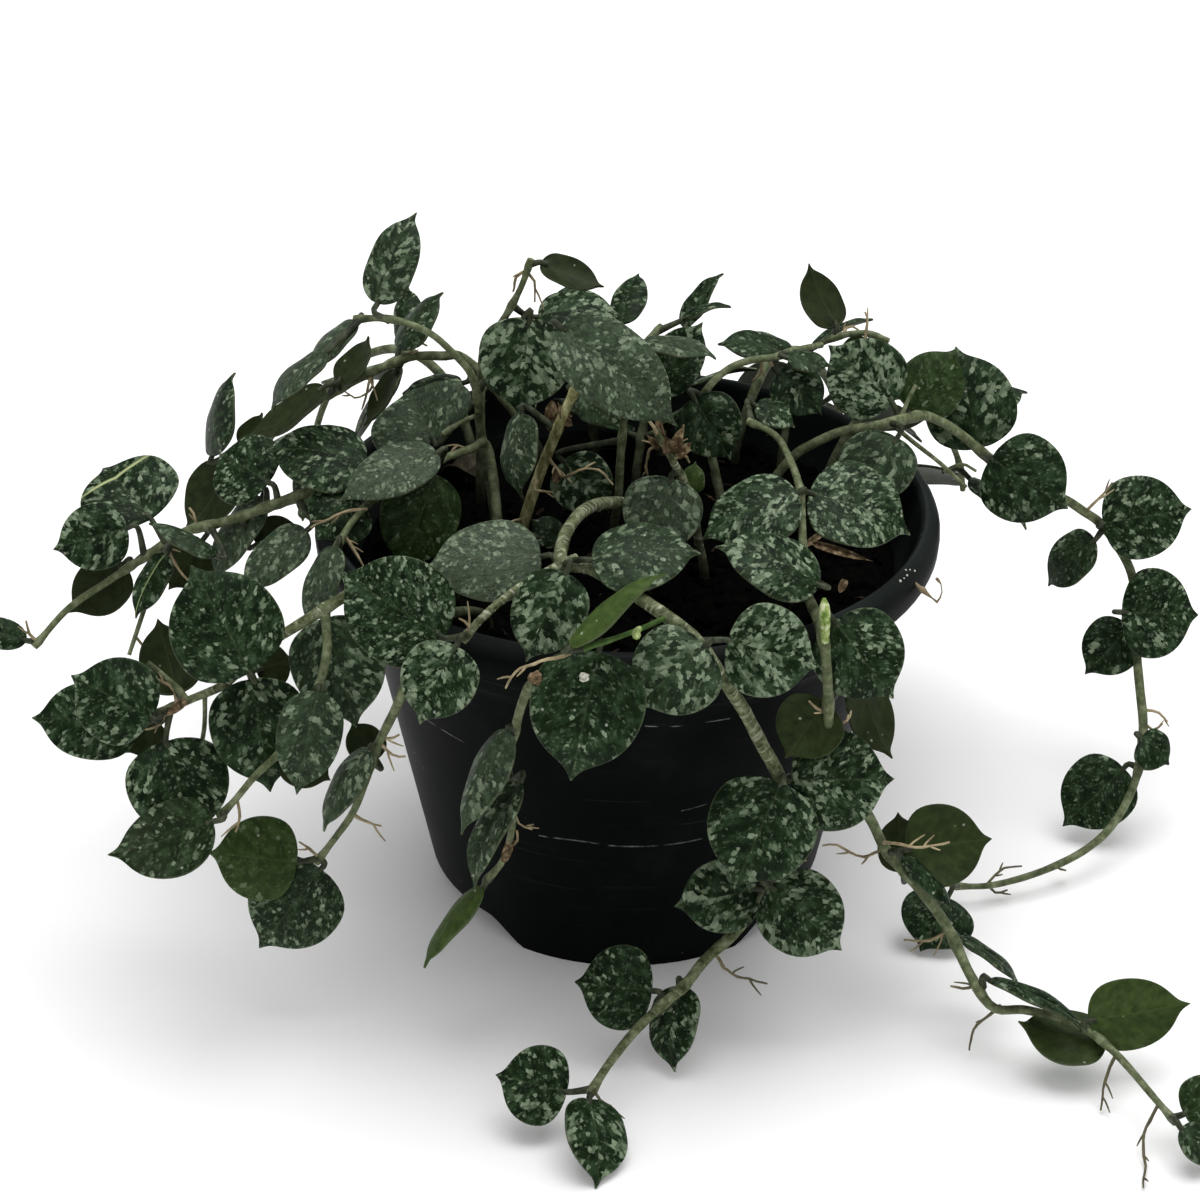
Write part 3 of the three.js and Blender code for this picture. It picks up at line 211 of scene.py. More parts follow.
# Each notch is cut with a block turned about the pot's axis, lower towards its ends.
# The spin runs clockwise, so it starts from the notch's far end.
for k in range(NOTCH_COUNT):
    bpy.ops.object.select_all(action="DESELECT")
    bpy.ops.mesh.primitive_plane_add(
        size=MM, location=(NOTCH_RING[0] * MM, 0, 0), rotation=(math.pi / 2, 0, 0))
    cutter = bpy.context.object
    cutter.scale = (NOTCH_RING[1], 2 * NOTCH_HEIGHT, 1)
    middle = math.radians(NOTCH_FIRST - 90 + 360 / NOTCH_COUNT * k)
    bpy.ops.object.transform_apply(location=True, rotation=True, scale=True)
    cutter.rotation_euler.z = middle + math.radians(NOTCH_SPAN / 2)
    bpy.ops.object.transform_apply(location=False, rotation=True, scale=False)
    bpy.ops.object.mode_set(mode="EDIT")
    bpy.ops.mesh.select_all(action="SELECT")
    bpy.ops.mesh.spin(steps=28, angle=math.radians(NOTCH_SPAN), center=(0, 0, 0), axis=(0, 0, 1))
    bpy.ops.mesh.select_all(action="SELECT")
    bpy.ops.mesh.remove_doubles(threshold=1e-6)
    bpy.ops.mesh.normals_make_consistent(inside=False)
    bpy.ops.object.mode_set(mode="OBJECT")
    for point in cutter.data.vertices:
        if point.co.z > 0:
            turned = math.degrees(math.atan2(point.co.y, point.co.x) - middle) % 360
            turned = min(turned, 360 - turned)
            up = min(1, max(0, (NOTCH_SPAN / 2 - turned) / NOTCH_SLOPE))
            rise = up * up * (3 - 2 * up) * (NOTCH_HEIGHT + NOTCH_UNDER)
            point.co.z = (rise - NOTCH_UNDER) * MM
    bpy.ops.object.select_all(action="DESELECT")
    pot.select_set(True)
    bpy.context.view_layer.objects.active = pot
    cut = pot.modifiers.new("notch", "BOOLEAN")
    cut.operation = "DIFFERENCE"
    cut.object = cutter
    bpy.ops.object.modifier_apply(modifier=cut.name)
    bpy.data.objects.remove(cutter)
bpy.ops.object.shade_smooth_by_angle(angle=math.radians(32))

# Moulded polypropylene, filled with carbon black: near black and satin, with the finest
# orange peel, dust in patches, dust and a painted highlight on what faces up, pale specks,
# and long thin scuffs.
black_plastic = start_material("moulded black polypropylene", 0.42, 0.03)
where = add(black_plastic, "TexCoord").outputs["Object"]
patches = add(black_plastic, "TexNoise", {"Scale": 1 / 0.022, "Detail": 5, "Roughness": 0.65},
              {"Vector": where})
dusty = add(black_plastic, "ValToRGB", {"stops": [(0.4, "#030605"), (0.56, "#070b0a"), (0.75, "#111615")]},
            {"Fac": patches})
# What faces up is paler: partly settled dust, partly a painted highlight of the light overhead.
facing = add(black_plastic, "SeparateXYZ", {},
             {"Vector": add(black_plastic, "NewGeometry").outputs["Normal"]})
dust_and_lit_top = add(black_plastic, "MapRange", {"From Min": 0.15, "From Max": 1, "To Max": 0.7},
                   {"Value": facing.outputs["Z"]})
topped = add(black_plastic, "MixRGB", {"Color2": linear("#2c312f")},
             {"Fac": dust_and_lit_top, "Color1": dusty})
grain = add(black_plastic, "TexVoronoi", {"Scale": 1 / 0.0034, "Randomness": 1}, {"Vector": where})
speck = add(black_plastic, "ValToRGB", {"stops": [(0.05, "#ffffff"), (0.1, "#000000")]}, {"Fac": grain})
some = add(black_plastic, "TexNoise", {"Scale": 1 / 0.009, "Detail": 2}, {"Vector": where})
few = add(black_plastic, "ValToRGB", {"stops": [(0.54, "#000000"), (0.62, "#b0b0b0")]}, {"Fac": some})
specks = add(black_plastic, "Math", {"operation": "MULTIPLY"}, {0: speck, 1: few})
drawn = add(black_plastic, "Mapping", {"Scale": (26, 26, 1500)}, {"Vector": where})
lines = add(black_plastic, "TexNoise", {"Scale": 1, "Detail": 2, "Roughness": 0.5}, {"Vector": drawn})
scuff = add(black_plastic, "ValToRGB", {"stops": [(0.66, "#000000"), (0.74, "#3a3a3a")]}, {"Fac": lines})
marks = add(black_plastic, "Math", {"operation": "MAXIMUM"}, {0: specks, 1: scuff})
# Four clear scuffs round the front of the wall: height, middle, half length, breadth, mm.
broken = add(black_plastic, "TexNoise", {"Scale": 1 / 0.0035, "Detail": 3}, {"Vector": where})
worn_through = add(black_plastic, "ValToRGB", {"stops": [(0.4, "#000000"), (0.62, "#e0e0e0")]},
                   {"Fac": broken})
wander = add(black_plastic, "TexNoise", {"Scale": 1 / 0.03, "Detail": 1}, {"Vector": where})
spot = add(black_plastic, "SeparateXYZ", {}, {"Vector": where})
height = add(black_plastic, "Math", {"operation": "MULTIPLY_ADD", 1: 0.006},
             {0: wander, 2: spot.outputs["Z"]})
for up, middle, half, breadth in ((41.6, 2, 21, 0.2), (75.5, 13, 9, 0.13), (62.5, -40, 5, 0.13),
                                  (52, 24, 12, 0.1)):
    level = add(black_plastic, "Math", {"operation": "COMPARE", 1: up * MM, 2: breadth * MM},
                {0: height})
    reach = add(black_plastic, "Math", {"operation": "COMPARE", 1: middle * MM, 2: half * MM},
                {0: spot.outputs["X"]})
    front = add(black_plastic, "Math", {"operation": "LESS_THAN", 1: 0}, {0: spot.outputs["Y"]})
    here = level
    for share in (reach, front, worn_through):
        here = add(black_plastic, "Math", {"operation": "MULTIPLY"}, {0: here, 1: share})
    marks = add(black_plastic, "Math", {"operation": "MAXIMUM"}, {0: marks, 1: here})
worn = add(black_plastic, "MixRGB", {"Color2": linear("#7f837c")}, {"Fac": marks, "Color1": topped})
peel = add(black_plastic, "TexNoise", {"Scale": 1 / 0.0011, "Detail": 2}, {"Vector": where})
relief = add(black_plastic, "Bump", {"Strength": 0.12, "Distance": 0.0002}, {"Height": peel})
gloss = add(black_plastic, "MapRange", {"To Min": 0.34, "To Max": 0.58}, {"Value": patches})
dress(black_plastic, worn, relief, gloss)
pot.data.materials.append(black_plastic)
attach(pot, "root")
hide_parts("pot")

# ------------------------------------------------------------------- the potting mix
# Damp peat, bark chips and fine grit, pressed into the pot to a little under its rim,
# with crumbs, splinters of bark and bits of straw lying loose on top.

MIX_TOP = 84
MIX_RINGS = [(36, 3), (44.1, 10), (56.5, 77), (60.2, 82), (59.4, 83.2)]
MIX_RINGS += [(58.2 - 2.2 * k, MIX_TOP) for k in range(26)]
random.seed(5)

mix = raise_rings("potting_mix", MIX_RINGS, 96)
for point in mix.data.vertices:
    flat = Vector((point.co.x, point.co.y, 0)) / MM
    if point.co.z > 83.5 * MM:
        coarse = noise.noise(flat / 9) * 1.6
        fine = noise.noise(flat / 2.6) * 0.9
        point.co.z += (coarse + fine) * MM


def crumb(mesh, place, size, seed):
    """A rough lump of a few faces."""
    lump = bmesh.ops.create_icosphere(mesh, subdivisions=1, radius=1)
    for corner in lump["verts"]:
        rough = 1 + 0.45 * noise.noise(corner.co * 1.7 + Vector((seed, 0, 0)))
        corner.co = corner.co * rough
    bmesh.ops.scale(mesh, verts=lump["verts"], vec=size)
    bmesh.ops.rotate(mesh, verts=lump["verts"], cent=(0, 0, 0),
                     matrix=Vector((random.uniform(-1, 1), random.uniform(-1, 1), 1.2))
                     .to_track_quat("Z", "Y").to_matrix())
    bmesh.ops.translate(mesh, verts=lump["verts"], vec=place)


def scatter(name, count, size_of, reach):
    """Loose bits over the mix, each a lump of its own."""
    bits = bmesh.new()
    for k in range(count):
        round_ = random.uniform(0, math.tau)
        out = reach * math.sqrt(random.random())
        place = Vector((out * math.cos(round_), out * math.sin(round_), MIX_TOP + 0.2)) * MM
        crumb(bits, place, size_of(), k * 3.7)
    data = bpy.data.meshes.new(name)
    bits.to_mesh(data)
    bits.free()
    made = bpy.data.objects.new(name, data)
    bpy.context.collection.objects.link(made)
    return made


def lump_size():
    """A crumb's length, width and height."""
    wide = random.choice((0.7, 0.9, 1.2, 1.6, 2.2)) * MM
    return (wide * random.uniform(0.8, 1.5), wide, wide * random.uniform(0.5, 0.8))


def chip_size():
    """A flat chip's length, width and height."""
    long = random.uniform(1.6, 4.2) * MM
    return (long, long * random.uniform(0.16, 0.4), 0.35 * MM)


crumbs = scatter("mix_crumbs", 620, lump_size, 58)
chips = scatter("bark_and_straw_bits", 60, chip_size, 56)

# Damp peat: near black, quite matt, with brown fibres and paler grit among the crumbs.
damp_peat = cloudy("damp peat and bark", 0.9, 0.03, 0.0024,
                   [(0.4, "#020202"), (0.58, "#050504"), (0.8, "#130f0b")],
                   detail=6, rough=0.7, relief=(0.8, 0.0006))

# Dry bark and straw: pale to mid brown, fibrous and matt.
dry_bark = cloudy("dry bark and straw", 0.85, 0.15, 0.004,
                  [(0.4, "#0d0a07"), (0.54, "#241a11"), (0.72, "#5a452e")], detail=4, rough=0.7)
for piece, skin in ((mix, damp_peat), (crumbs, damp_peat), (chips, dry_bark)):
    piece.data.materials.append(skin)
    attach(piece, "root")
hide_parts("soil")
bpy.ops.object.select_all(action="DESELECT")

# ------------------------------------------------------------------- stems and roots
# A hoya's stems are round and wiry, and swell at each pair of leaves. They are green at
# first and turn to grey and tan bark. Tan aerial roots hang from their lower sides.

STEM = 1.15                 # radii in mm
SHOOT = 0.8
ROOT = 0.4
STEM_STEP = 12              # the straight stretches that leaves are set out along
FINE_STEP = 1.5             # the rings of a finished stem
PLANTED = (72.3, 79, 87)    # heights of a stem's first points, upright in the mix


def sight(across, down):
    """Direction from the eye to a picture point, one unit deep."""
    forward = Vector((-math.sin(EYE_LEFT) * math.cos(EYE_DOWN),
                      math.cos(EYE_LEFT) * math.cos(EYE_DOWN), -math.sin(EYE_DOWN)))
    rightward = Vector((math.cos(EYE_LEFT), math.sin(EYE_LEFT), 0))
    upward = rightward.cross(forward)
    return (forward + rightward * ((across - PICTURE_MIDDLE) / EYE_FOCUS)
            + upward * ((PICTURE_MIDDLE - down) / EYE_FOCUS))


def seen(across, down, height):
    """The point in mm, at a height, that the front view shows at a picture point."""
    ray = sight(across, down)
    eye = EYE / MM
    return eye + ray * ((height - eye.z) / ray.z)


def planted(x, y):
    """A stem's first stretch, upright in the mix."""
    return [Vector((x, y, z)) for z in PLANTED]


def smooth_path(points):
    """A smooth centripetal curve through the points, as a function of 0 to 1."""
    def place(t):
        last = len(points) - 1
        k = min(int(t * last), last - 1)
        w = t * last - k
        p1 = points[k]
        p2 = points[k + 1]
        p0 = points[k - 1] if k > 0 else p1 * 2 - points[1]
        p3 = points[k + 2] if k + 2 <= last else p2 * 2 - points[last - 1]
        d1 = (p2 - p1).length_squared ** 0.25
        d1 = d1 if d1 >= 1e-4 else 1
        d0 = (p1 - p0).length_squared ** 0.25
        d0 = d0 if d0 >= 1e-4 else d1
        d2 = (p3 - p2).length_squared ** 0.25
        d2 = d2 if d2 >= 1e-4 else d1
        t1 = ((p1 - p0) / d0 - (p2 - p0) / (d0 + d1) + (p2 - p1) / d1) * d1
        t2 = ((p2 - p1) / d1 - (p3 - p1) / (d1 + d2) + (p3 - p2) / d2) * d1
        return (p1 + t1 * w + (p1 * -3 + p2 * 3 - t1 * 2 - t2) * w ** 2
                + (p1 * 2 - p2 * 2 + t1 + t2) * w ** 3)
    return place


def along_path(points, step):
    """Points an even step apart along the smooth curve through the points."""
    place = smooth_path(points)
    marks = [place(k / 200) for k in range(201)]
    run = [0.0]
    for a, b in zip(marks, marks[1:]):
        run.append(run[-1] + (b - a).length)
    count = max(1, int(run[-1] / step + 0.5))
    even = []
    k = 0
    for n in range(count + 1):
        target = run[-1] * n / count
        while k < 199 and run[k + 1] < target:
            k += 1
        share = (target - run[k]) / max(run[k + 1] - run[k], 1e-9)
        even.append(place(min(1, (k + share) / 200)))
    return even


def middle_of(points):
    """Points close together along the straight stretches that leaves are set out on."""
    bends = along_path(points, STEM_STEP)
    middle = [bends[0]]
    for a, b in zip(bends, bends[1:]):
        count = math.ceil((b - a).length / FINE_STEP)
        middle += [a.lerp(b, k / count) for k in range(1, count + 1)]
    return middle


def grimed_and_shaded(made, where, colour):
    """The colour, darkened near the mix inside the pot's mouth, partly for damp and dirt and partly as
    painted shade, since the mouth lies in deep shade.
    """
    spot = add(made, "SeparateXYZ", {}, {"Vector": where})
    low = add(made, "MapRange", {"From Min": 0.086, "From Max": 0.106, "To Min": 0.8, "To Max": 0},
              {"Value": spot.outputs["Z"]})
    level = add(made, "VectorMath", {"operation": "MULTIPLY", 1: (1, 1, 0)}, {0: where})
    out = add(made, "VectorMath", {"operation": "LENGTH"}, {0: level})
    within = add(made, "MapRange", {"From Min": 0.054, "From Max": 0.062, "To Min": 1, "To Max": 0},
                 {"Value": out.outputs["Value"]})
    grime_and_shade = add(made, "Math", {"operation": "MULTIPLY"}, {0: low, 1: within})
    return add(made, "MixRGB", {"Color2": linear("#14130e")}, {"Fac": grime_and_shade, "Color1": colour})


def barred(made, where, colour, bar, strength):
    """The colour, under short pale bars of cork across the stem, about a millimetre apart.
    They are plain above the rim, and fade on the younger lengths that hang below it."""
    run = add(made, "Attribute", {"attribute_name": "along"})
    run = add(made, "Math", {"operation": "MULTIPLY", 1: 1 / 0.85}, {0: run.outputs["Fac"]})
    run = add(made, "CombineXYZ", {}, {"X": run})
    near = add(made, "VectorMath", {"operation": "SCALE", "Scale": 1 / 0.0032}, {"Vector": where})
    spot = add(made, "VectorMath", {"operation": "ADD"}, {0: run, 1: near})
    bars = add(made, "TexNoise", {"Scale": 1, "Detail": 2, "Roughness": 0.5}, {"Vector": spot})
    shown = add(made, "ValToRGB", {"stops": [(0.56, "#000000"), (0.66, strength)]}, {"Fac": bars})
    height = add(made, "SeparateXYZ", {}, {"Vector": where})
    older = add(made, "MapRange", {"From Min": 0.05, "From Max": 0.09, "To Min": 0.2, "To Max": 1},
                {"Value": height.outputs["Z"]})
    shown = add(made, "Math", {"operation": "MULTIPLY"}, {0: shown, 1: older})
    return add(made, "MixRGB", {"Color2": linear(bar)}, {"Fac": shown, "Color1": colour})


def barky(name, finish, mottling, stops, corking, cork, strength, relief):
    """A stem's skin: mottled, dotted with pale cork, barred, and darkened inside the pot's
    mouth by dirt and by painted shade. finish is roughness and gloss, mottling the noise's scale,
    detail and roughness, corking the dots' size and strength, and cork the colours of the dots and of the
    bars."""
    made = start_material(name, *finish)
    where = add(made, "TexCoord").outputs["Object"]
    mottle = add(made, "TexNoise", dict(zip(("Scale", "Detail", "Roughness"), mottling)),
                 {"Vector": where})
    ground = add(made, "ValToRGB", {"stops": stops}, {"Fac": mottle})
    cells = add(made, "TexVoronoi", {"Scale": 1 / corking[0]}, {"Vector": where})
    dots = add(made, "ValToRGB", {"stops": [(0.1, corking[1]), (0.17, "#000000")]}, {"Fac": cells})
    dotted = add(made, "MixRGB", {"Color2": linear(cork[0])}, {"Fac": dots, "Color1": ground})
    dotted = barred(made, where, dotted, cork[1], strength)
    bump = add(made, "Bump", {"Strength": relief[0], "Distance": relief[1]}, {"Height": mottle})
    # Inside the pot's mouth the skin is darkened by dirt and by painted shade.
    dress(made, grimed_and_shaded(made, where, dotted), bump)
    return made


# Old bark: olive-grey, barred and blotched with pale cork all along the stem.
old_bark = barky("old hoya bark", (0.75, 0.15), (1 / 0.0022, 5, 0.7),
                 [(0.34, "#31361f"), (0.48, "#525a3d"), (0.6, "#70775a"), (0.74, "#989b80")],
                 (0.0015, "#808080"), ("#bcbda6", "#c4c5ae"), "#b8b8b8", (0.5, 0.0002))

# Young stem: grey-olive skin with paler flecks, slightly satin.
young_skin = barky("young hoya stem", (0.6, 0.2), (1 / 0.0025, 5, 0.65),
                   [(0.32, "#384129"), (0.5, "#596243"), (0.68, "#7d8566")],
                   (0.0013, "#707070"), ("#a3a890", "#a3a890"), "#686868", (0.3, 0.00015))

# Old wood: the thickest, oldest stem, yellow-brown where its bark has worn and split.
tan_wood = start_material("worn old hoya wood", 0.75, 0.15)
where = add(tan_wood, "TexCoord").outputs["Object"]
grain = add(tan_wood, "Mapping", {"Scale": (1, 1, 0.3)}, {"Vector": where})
mottle = add(tan_wood, "TexNoise", {"Scale": 1 / 0.0016, "Detail": 5, "Roughness": 0.7},
             {"Vector": grain})
worn = add(tan_wood, "ValToRGB", {"stops": [(0.34, "#545230"), (0.48, "#8c8b5e"), (0.6, "#b6b586"),
                                            (0.72, "#d9d7b3")]},
           {"Fac": mottle})
relief = add(tan_wood, "Bump", {"Strength": 0.6, "Distance": 0.0002}, {"Height": mottle})
# Inside the pot's mouth the wood is darkened by dirt and by painted shade.
dress(tan_wood, grimed_and_shaded(tan_wood, where, worn), relief)

# Green shoot: this year's growth, plain and bright, with no bark yet.
green_shoot = cloudy("green hoya shoot", 0.5, 0.2, 0.003,
                     [(0.3, "#2c421a"), (0.5, "#3f5a26"), (0.7, "#5a7638")])

# Bud: a blunt nub that hasn't opened, yellow-green, clouded with paler patches.
bud_skin = cloudy("hoya growing bud", 0.6, 0.2, 0.0012,
                  [(0.35, "#5f7a34"), (0.5, "#8fa45c"), (0.66, "#c9cfa6")])

# Leaf stalk: dark olive and brown, a little waxy.
dark_stalk = cloudy("waxy hoya leaf stalk", 0.55, 0.2, 0.0018,
                    [(0.32, "#23281c"), (0.5, "#353b2a"), (0.7, "#4c5340")], detail=4)

# Aerial root: dry and corky, tan, and darker and greyer low down near the table.
root_cork = start_material("corky aerial root", 0.85, 0.1)
where = add(root_cork, "TexCoord").outputs["Object"]
weathered = add(root_cork, "TexNoise", {"Scale": 1 / 0.006, "Detail": 4, "Roughness": 0.6},
                {"Vector": where})
corky = add(root_cork, "ValToRGB", {"stops": [(0.34, "#645a45"), (0.5, "#8f8265"), (0.68, "#bdae8d")]},
            {"Fac": weathered})
height = add(root_cork, "SeparateXYZ", {}, {"Vector": where})
# Lower down, near the table, the colour turns darker and greyer.
down = add(root_cork, "MapRange", {"From Min": 0.03, "From Max": 0.012, "To Max": 0.8},
           {"Value": height.outputs["Z"]})
greyer_near_table = add(root_cork, "MixRGB", {"Color2": linear("#4b4a39")}, {"Fac": down, "Color1": corky})
relief = add(root_cork, "Bump", {"Strength": 0.4, "Distance": 0.0001}, {"Height": weathered})
dress(root_cork, greyer_near_table, relief)


def rods(name, runs, bevel):
    """Round rods along runs of (points in mm, a radius in mm for each, a skin), as one mesh.
    Its "along" says how many mm along its rod each point lies."""
    bent = bpy.data.curves.new(name, "CURVE")
    bent.dimensions = "3D"
    bent.bevel_depth = MM
    bent.bevel_resolution = bevel
    bent.use_fill_caps = True
    skins = []
    for points, radii, skin in runs:
        if skin not in skins:
            skins.append(skin)
            bent.materials.append(skin)
        spline = bent.splines.new("POLY")
        spline.points.add(len(points) - 1)
        spline.material_index = skins.index(skin)
        for knot, point, radius in zip(spline.points, points, radii):
            knot.co = (*(point * MM), 1)
            knot.radius = radius
    made = bpy.data.objects.new(name, bent)
    bpy.context.collection.objects.link(made)
    bpy.ops.object.select_all(action="DESELECT")
    made.select_set(True)
    bpy.context.view_layer.objects.active = made
    bpy.ops.object.convert(target="MESH")
    made = bpy.context.object
    middles = KDTree(sum(len(points) for points, _, _ in runs))
    run_at = []
    for points, _, _ in runs:
        step = (points[1] - points[0]).length
        for k, point in enumerate(points):
            middles.insert(point, len(run_at))
            run_at.append(k * step)
    middles.balance()
    along = [run_at[middles.find(point.co / MM)[1]] for point in made.data.vertices]
    made.data.attributes.new("along", "FLOAT", "POINT").data.foreach_set("value", along)
    return made


# ------------------------------------------------------------------------- the leaves
# Thick, waxy leaves, almost round, with a short sharp tip and a stalk a few mm long.
# Their upper sides are dark green under ragged silver flecks, and the lower sides olive.

BLADE = 1.0                 # thickness in mm
BLADE_WIDTH = 0.92          # for a length of 1
BLADE_ARCH = 0.07           # rise of its middle, for a length of 1
BLADE_DROOP = 0.09          # fall of its sides, for a width of 1
# How far along the blade each row of points is, and how wide the blade is there.
BLADE_ROWS = [
    (0, 0.24), (0.03, 0.5), (0.09, 0.74), (0.18, 0.92), (0.31, 1), (0.45, 1), (0.58, 0.94),
    (0.7, 0.81), (0.79, 0.63), (0.85, 0.44), (0.895, 0.25), (0.94, 0.11), (1.02, 0.012),
]


def pick(test):
    """Selects the points in edit mode that pass a test of their place."""
    mesh = bmesh.from_edit_mesh(bpy.context.object.data)
    bpy.ops.mesh.select_all(action="DESELECT")
    for point in mesh.verts:
        point.select_set(test(point.co))
    mesh.select_flush(True)


# The blade that all are copied from: half its width is 1, its length 1, its thickness 1.
bpy.ops.object.select_all(action="DESELECT")
bpy.ops.mesh.primitive_grid_add(
    x_subdivisions=6, y_subdivisions=len(BLADE_ROWS) - 1, size=2, location=(0, 0, 0))
blade = bpy.context.object
blade.name = "blade_pattern"
bpy.ops.object.mode_set(mode="EDIT")
bpy.context.tool_settings.mesh_select_mode = (True, False, False)
bpy.ops.transform.translate(value=(0, 11, 0))
for row, (share, half_wide) in enumerate(BLADE_ROWS):
    start = 10 + 2 * row / (len(BLADE_ROWS) - 1)
    pick(lambda co: abs(co.y - start) < 0.01)
    bpy.ops.transform.resize(value=(half_wide, 1, 1), center_override=(0, 0, 0))
    bpy.ops.transform.translate(value=(0, share - start, 0))
bpy.ops.mesh.select_all(action="SELECT")
bpy.ops.mesh.inset(thickness=0.022, depth=0)
bpy.ops.object.mode_set(mode="OBJECT")
thick = blade.modifiers.new("thickness", "SOLIDIFY")
thick.thickness = 1
thick.offset = 0
bpy.ops.object.modifier_apply(modifier=thick.name)
fine = blade.modifiers.new("rounding", "SUBSURF")
fine.levels = 1
fine.render_levels = 1
bpy.ops.object.modifier_apply(modifier=fine.name)
bpy.ops.object.mode_set(mode="EDIT")
bpy.ops.mesh.select_all(action="SELECT")
bpy.ops.mesh.normals_make_consistent(inside=False)
bpy.ops.object.mode_set(mode="OBJECT")
bpy.ops.object.shade_smooth()

# Where each point and face corner of the pattern lies on the blade.
count = len(blade.data.vertices)
flat = numpy.empty(3 * count)
blade.data.vertices.foreach_get("co", flat)
flat = flat.reshape(count, 3)
half_at = numpy.interp(flat[:, 1], *zip(*BLADE_ROWS))
to_edge = numpy.maximum(abs(flat[:, 0]) / half_at, abs(2 * flat[:, 1] - 1) ** 8).clip(0, 1)
corner_point = numpy.empty(len(blade.data.loops), dtype=int)
blade.data.loops.foreach_get("vertex_index", corner_point)
corner_half = numpy.ones(len(corner_point))
corner_under = numpy.zeros(len(corner_point))
for face in blade.data.polygons:
    corners = list(face.loop_indices)
    corner_half[corners] = 1 if face.center.x > 0 else -1
    corner_under[corners] = 1 if face.center.z < 0 else 0

# Waxy hoya blade: satin, dark green, with crisp silver patches and flecks that thicken to
# the margin, in small cells with ragged edges and of several greys. Its "tone" holds
# silver, freshness, underside and nearness to the margin, its "marks" the midrib's
# paleness, the painted grey sheen, and how far a point lies from the midrib and from a crease.
waxy_leaf = start_material("waxy silver-flecked hoya leaf", 0.5, 0.12)
tone = add(waxy_leaf, "VertexColor", {"layer_name": "tone"})
parts = add(waxy_leaf, "SeparateColor", {}, {"Color": tone})
silver, fresh, under = (parts.outputs[name] for name in ("Red", "Green", "Blue"))
edge = tone.outputs["Alpha"]
marks = add(waxy_leaf, "VertexColor", {"layer_name": "marks"})
parts = add(waxy_leaf, "SeparateColor", {}, {"Color": marks})
rib, sheen, aside = (parts.outputs[name] for name in ("Red", "Green", "Blue"))
veins = add(waxy_leaf, "UVMap", {"uv_map": "veins"}).outputs["UV"]
blades = add(waxy_leaf, "UVMap", {"uv_map": "blade"}).outputs["UV"]
frayed = add(waxy_leaf, "TexNoise", {"Scale": 1 / 0.75, "Detail": 4, "Roughness": 0.65},
             {"Vector": veins})
bent = add(waxy_leaf, "VectorMath", {"operation": "SCALE", "Scale": 1.25},
           {"Vector": frayed.outputs["Color"]})
moved = add(waxy_leaf, "VectorMath", {"operation": "ADD"}, {0: veins, 1: bent})
cells = add(waxy_leaf, "TexVoronoi", {"Scale": 1 / 0.85, "Randomness": 1}, {"Vector": moved})
patch = add(waxy_leaf, "TexNoise", {"Scale": 1 / 2.3, "Detail": 2, "Roughness": 0.6},
            {"Vector": cells.outputs["Position"]})
each_cell = add(waxy_leaf, "SeparateColor", {}, {"Color": cells.outputs["Color"]})
broad = add(waxy_leaf, "TexNoise", {"Scale": 1 / 9, "Detail": 1}, {"Vector": blades})
lean = patch
for weight, source in ((0.07, edge), (0.24, silver), (0.16, each_cell.outputs["Red"]), (0.3, broad)):
    lean = add(waxy_leaf, "Math", {"operation": "MULTIPLY_ADD", 1: weight}, {0: source, 2: lean})
plates = add(waxy_leaf, "ValToRGB", {"stops": [(0.945, "#000000"), (0.955, "#ffffff")]}, {"Fac": lean})
# Stray flecks of a quarter to half a millimetre lie between the plates.
stray = add(waxy_leaf, "TexVoronoi", {"Scale": 1 / 0.5}, {"Vector": moved})
stray_cell = add(waxy_leaf, "SeparateColor", {}, {"Color": stray.outputs["Color"]})
strays = add(waxy_leaf, "ValToRGB", {"stops": [(0.86, "#000000"), (0.92, "#a8a8a8")]},
             {"Fac": stray_cell.outputs["Green"]})
flecks = add(waxy_leaf, "MixRGB", {"blend_type": "LIGHTEN", "Fac": 1},
             {"Color1": plates, "Color2": strays})
# The green between them is cloudy, where faint silver lies deeper in the skin.
clouds = add(waxy_leaf, "TexNoise", {"Scale": 1 / 2.4, "Detail": 5, "Roughness": 0.62},
             {"Vector": moved})
green = add(waxy_leaf, "ValToRGB", {"stops": [(0.36, "#081806"), (0.5, "#152811"), (0.6, "#263a22"),
                                              (0.72, "#3a4e37")]},
            {"Fac": clouds})
uneven = add(waxy_leaf, "MixRGB", {"Fac": 0.55}, {"Color1": frayed, "Color2": each_cell.outputs["Blue"]})
plate = add(waxy_leaf, "ValToRGB", {"stops": [(0.25, "#3c4b35"), (0.5, "#5b6a53"), (0.75, "#7c8b72")]},
            {"Fac": uneven})
flecked = add(waxy_leaf, "MixRGB", {}, {"Fac": flecks, "Color1": green, "Color2": plate})
# On some leaves a painted grey sheen, the light's reflection put into the colour, lies over it all,
# brushed along the blade.
brush = add(waxy_leaf, "Mapping", {"Scale": (2.2, 0.5, 1)}, {"Vector": blades})
brushed = add(waxy_leaf, "TexNoise", {"Scale": 1 / 0.9, "Detail": 5, "Roughness": 0.7},
              {"Vector": brush})
painted_sheen = add(waxy_leaf, "MapRange", {"From Min": 0.3, "From Max": 0.62}, {"Value": brushed})
painted_sheen = add(waxy_leaf, "Math", {"operation": "MULTIPLY"}, {0: painted_sheen, 1: sheen})
flecked = add(waxy_leaf, "MixRGB", {"Color2": linear("#5b6655")}, {"Fac": painted_sheen, "Color1": flecked})
new_leaf = add(waxy_leaf, "ValToRGB", {"stops": [(0.3, "#2b3d17"), (0.7, "#475b29")]}, {"Fac": clouds})
olive = add(waxy_leaf, "ValToRGB", {"stops": [(0.3, "#1c2410"), (0.7, "#2d371c")]}, {"Fac": clouds})
sided = add(waxy_leaf, "MixRGB", {}, {"Fac": under, "Color1": flecked, "Color2": olive})
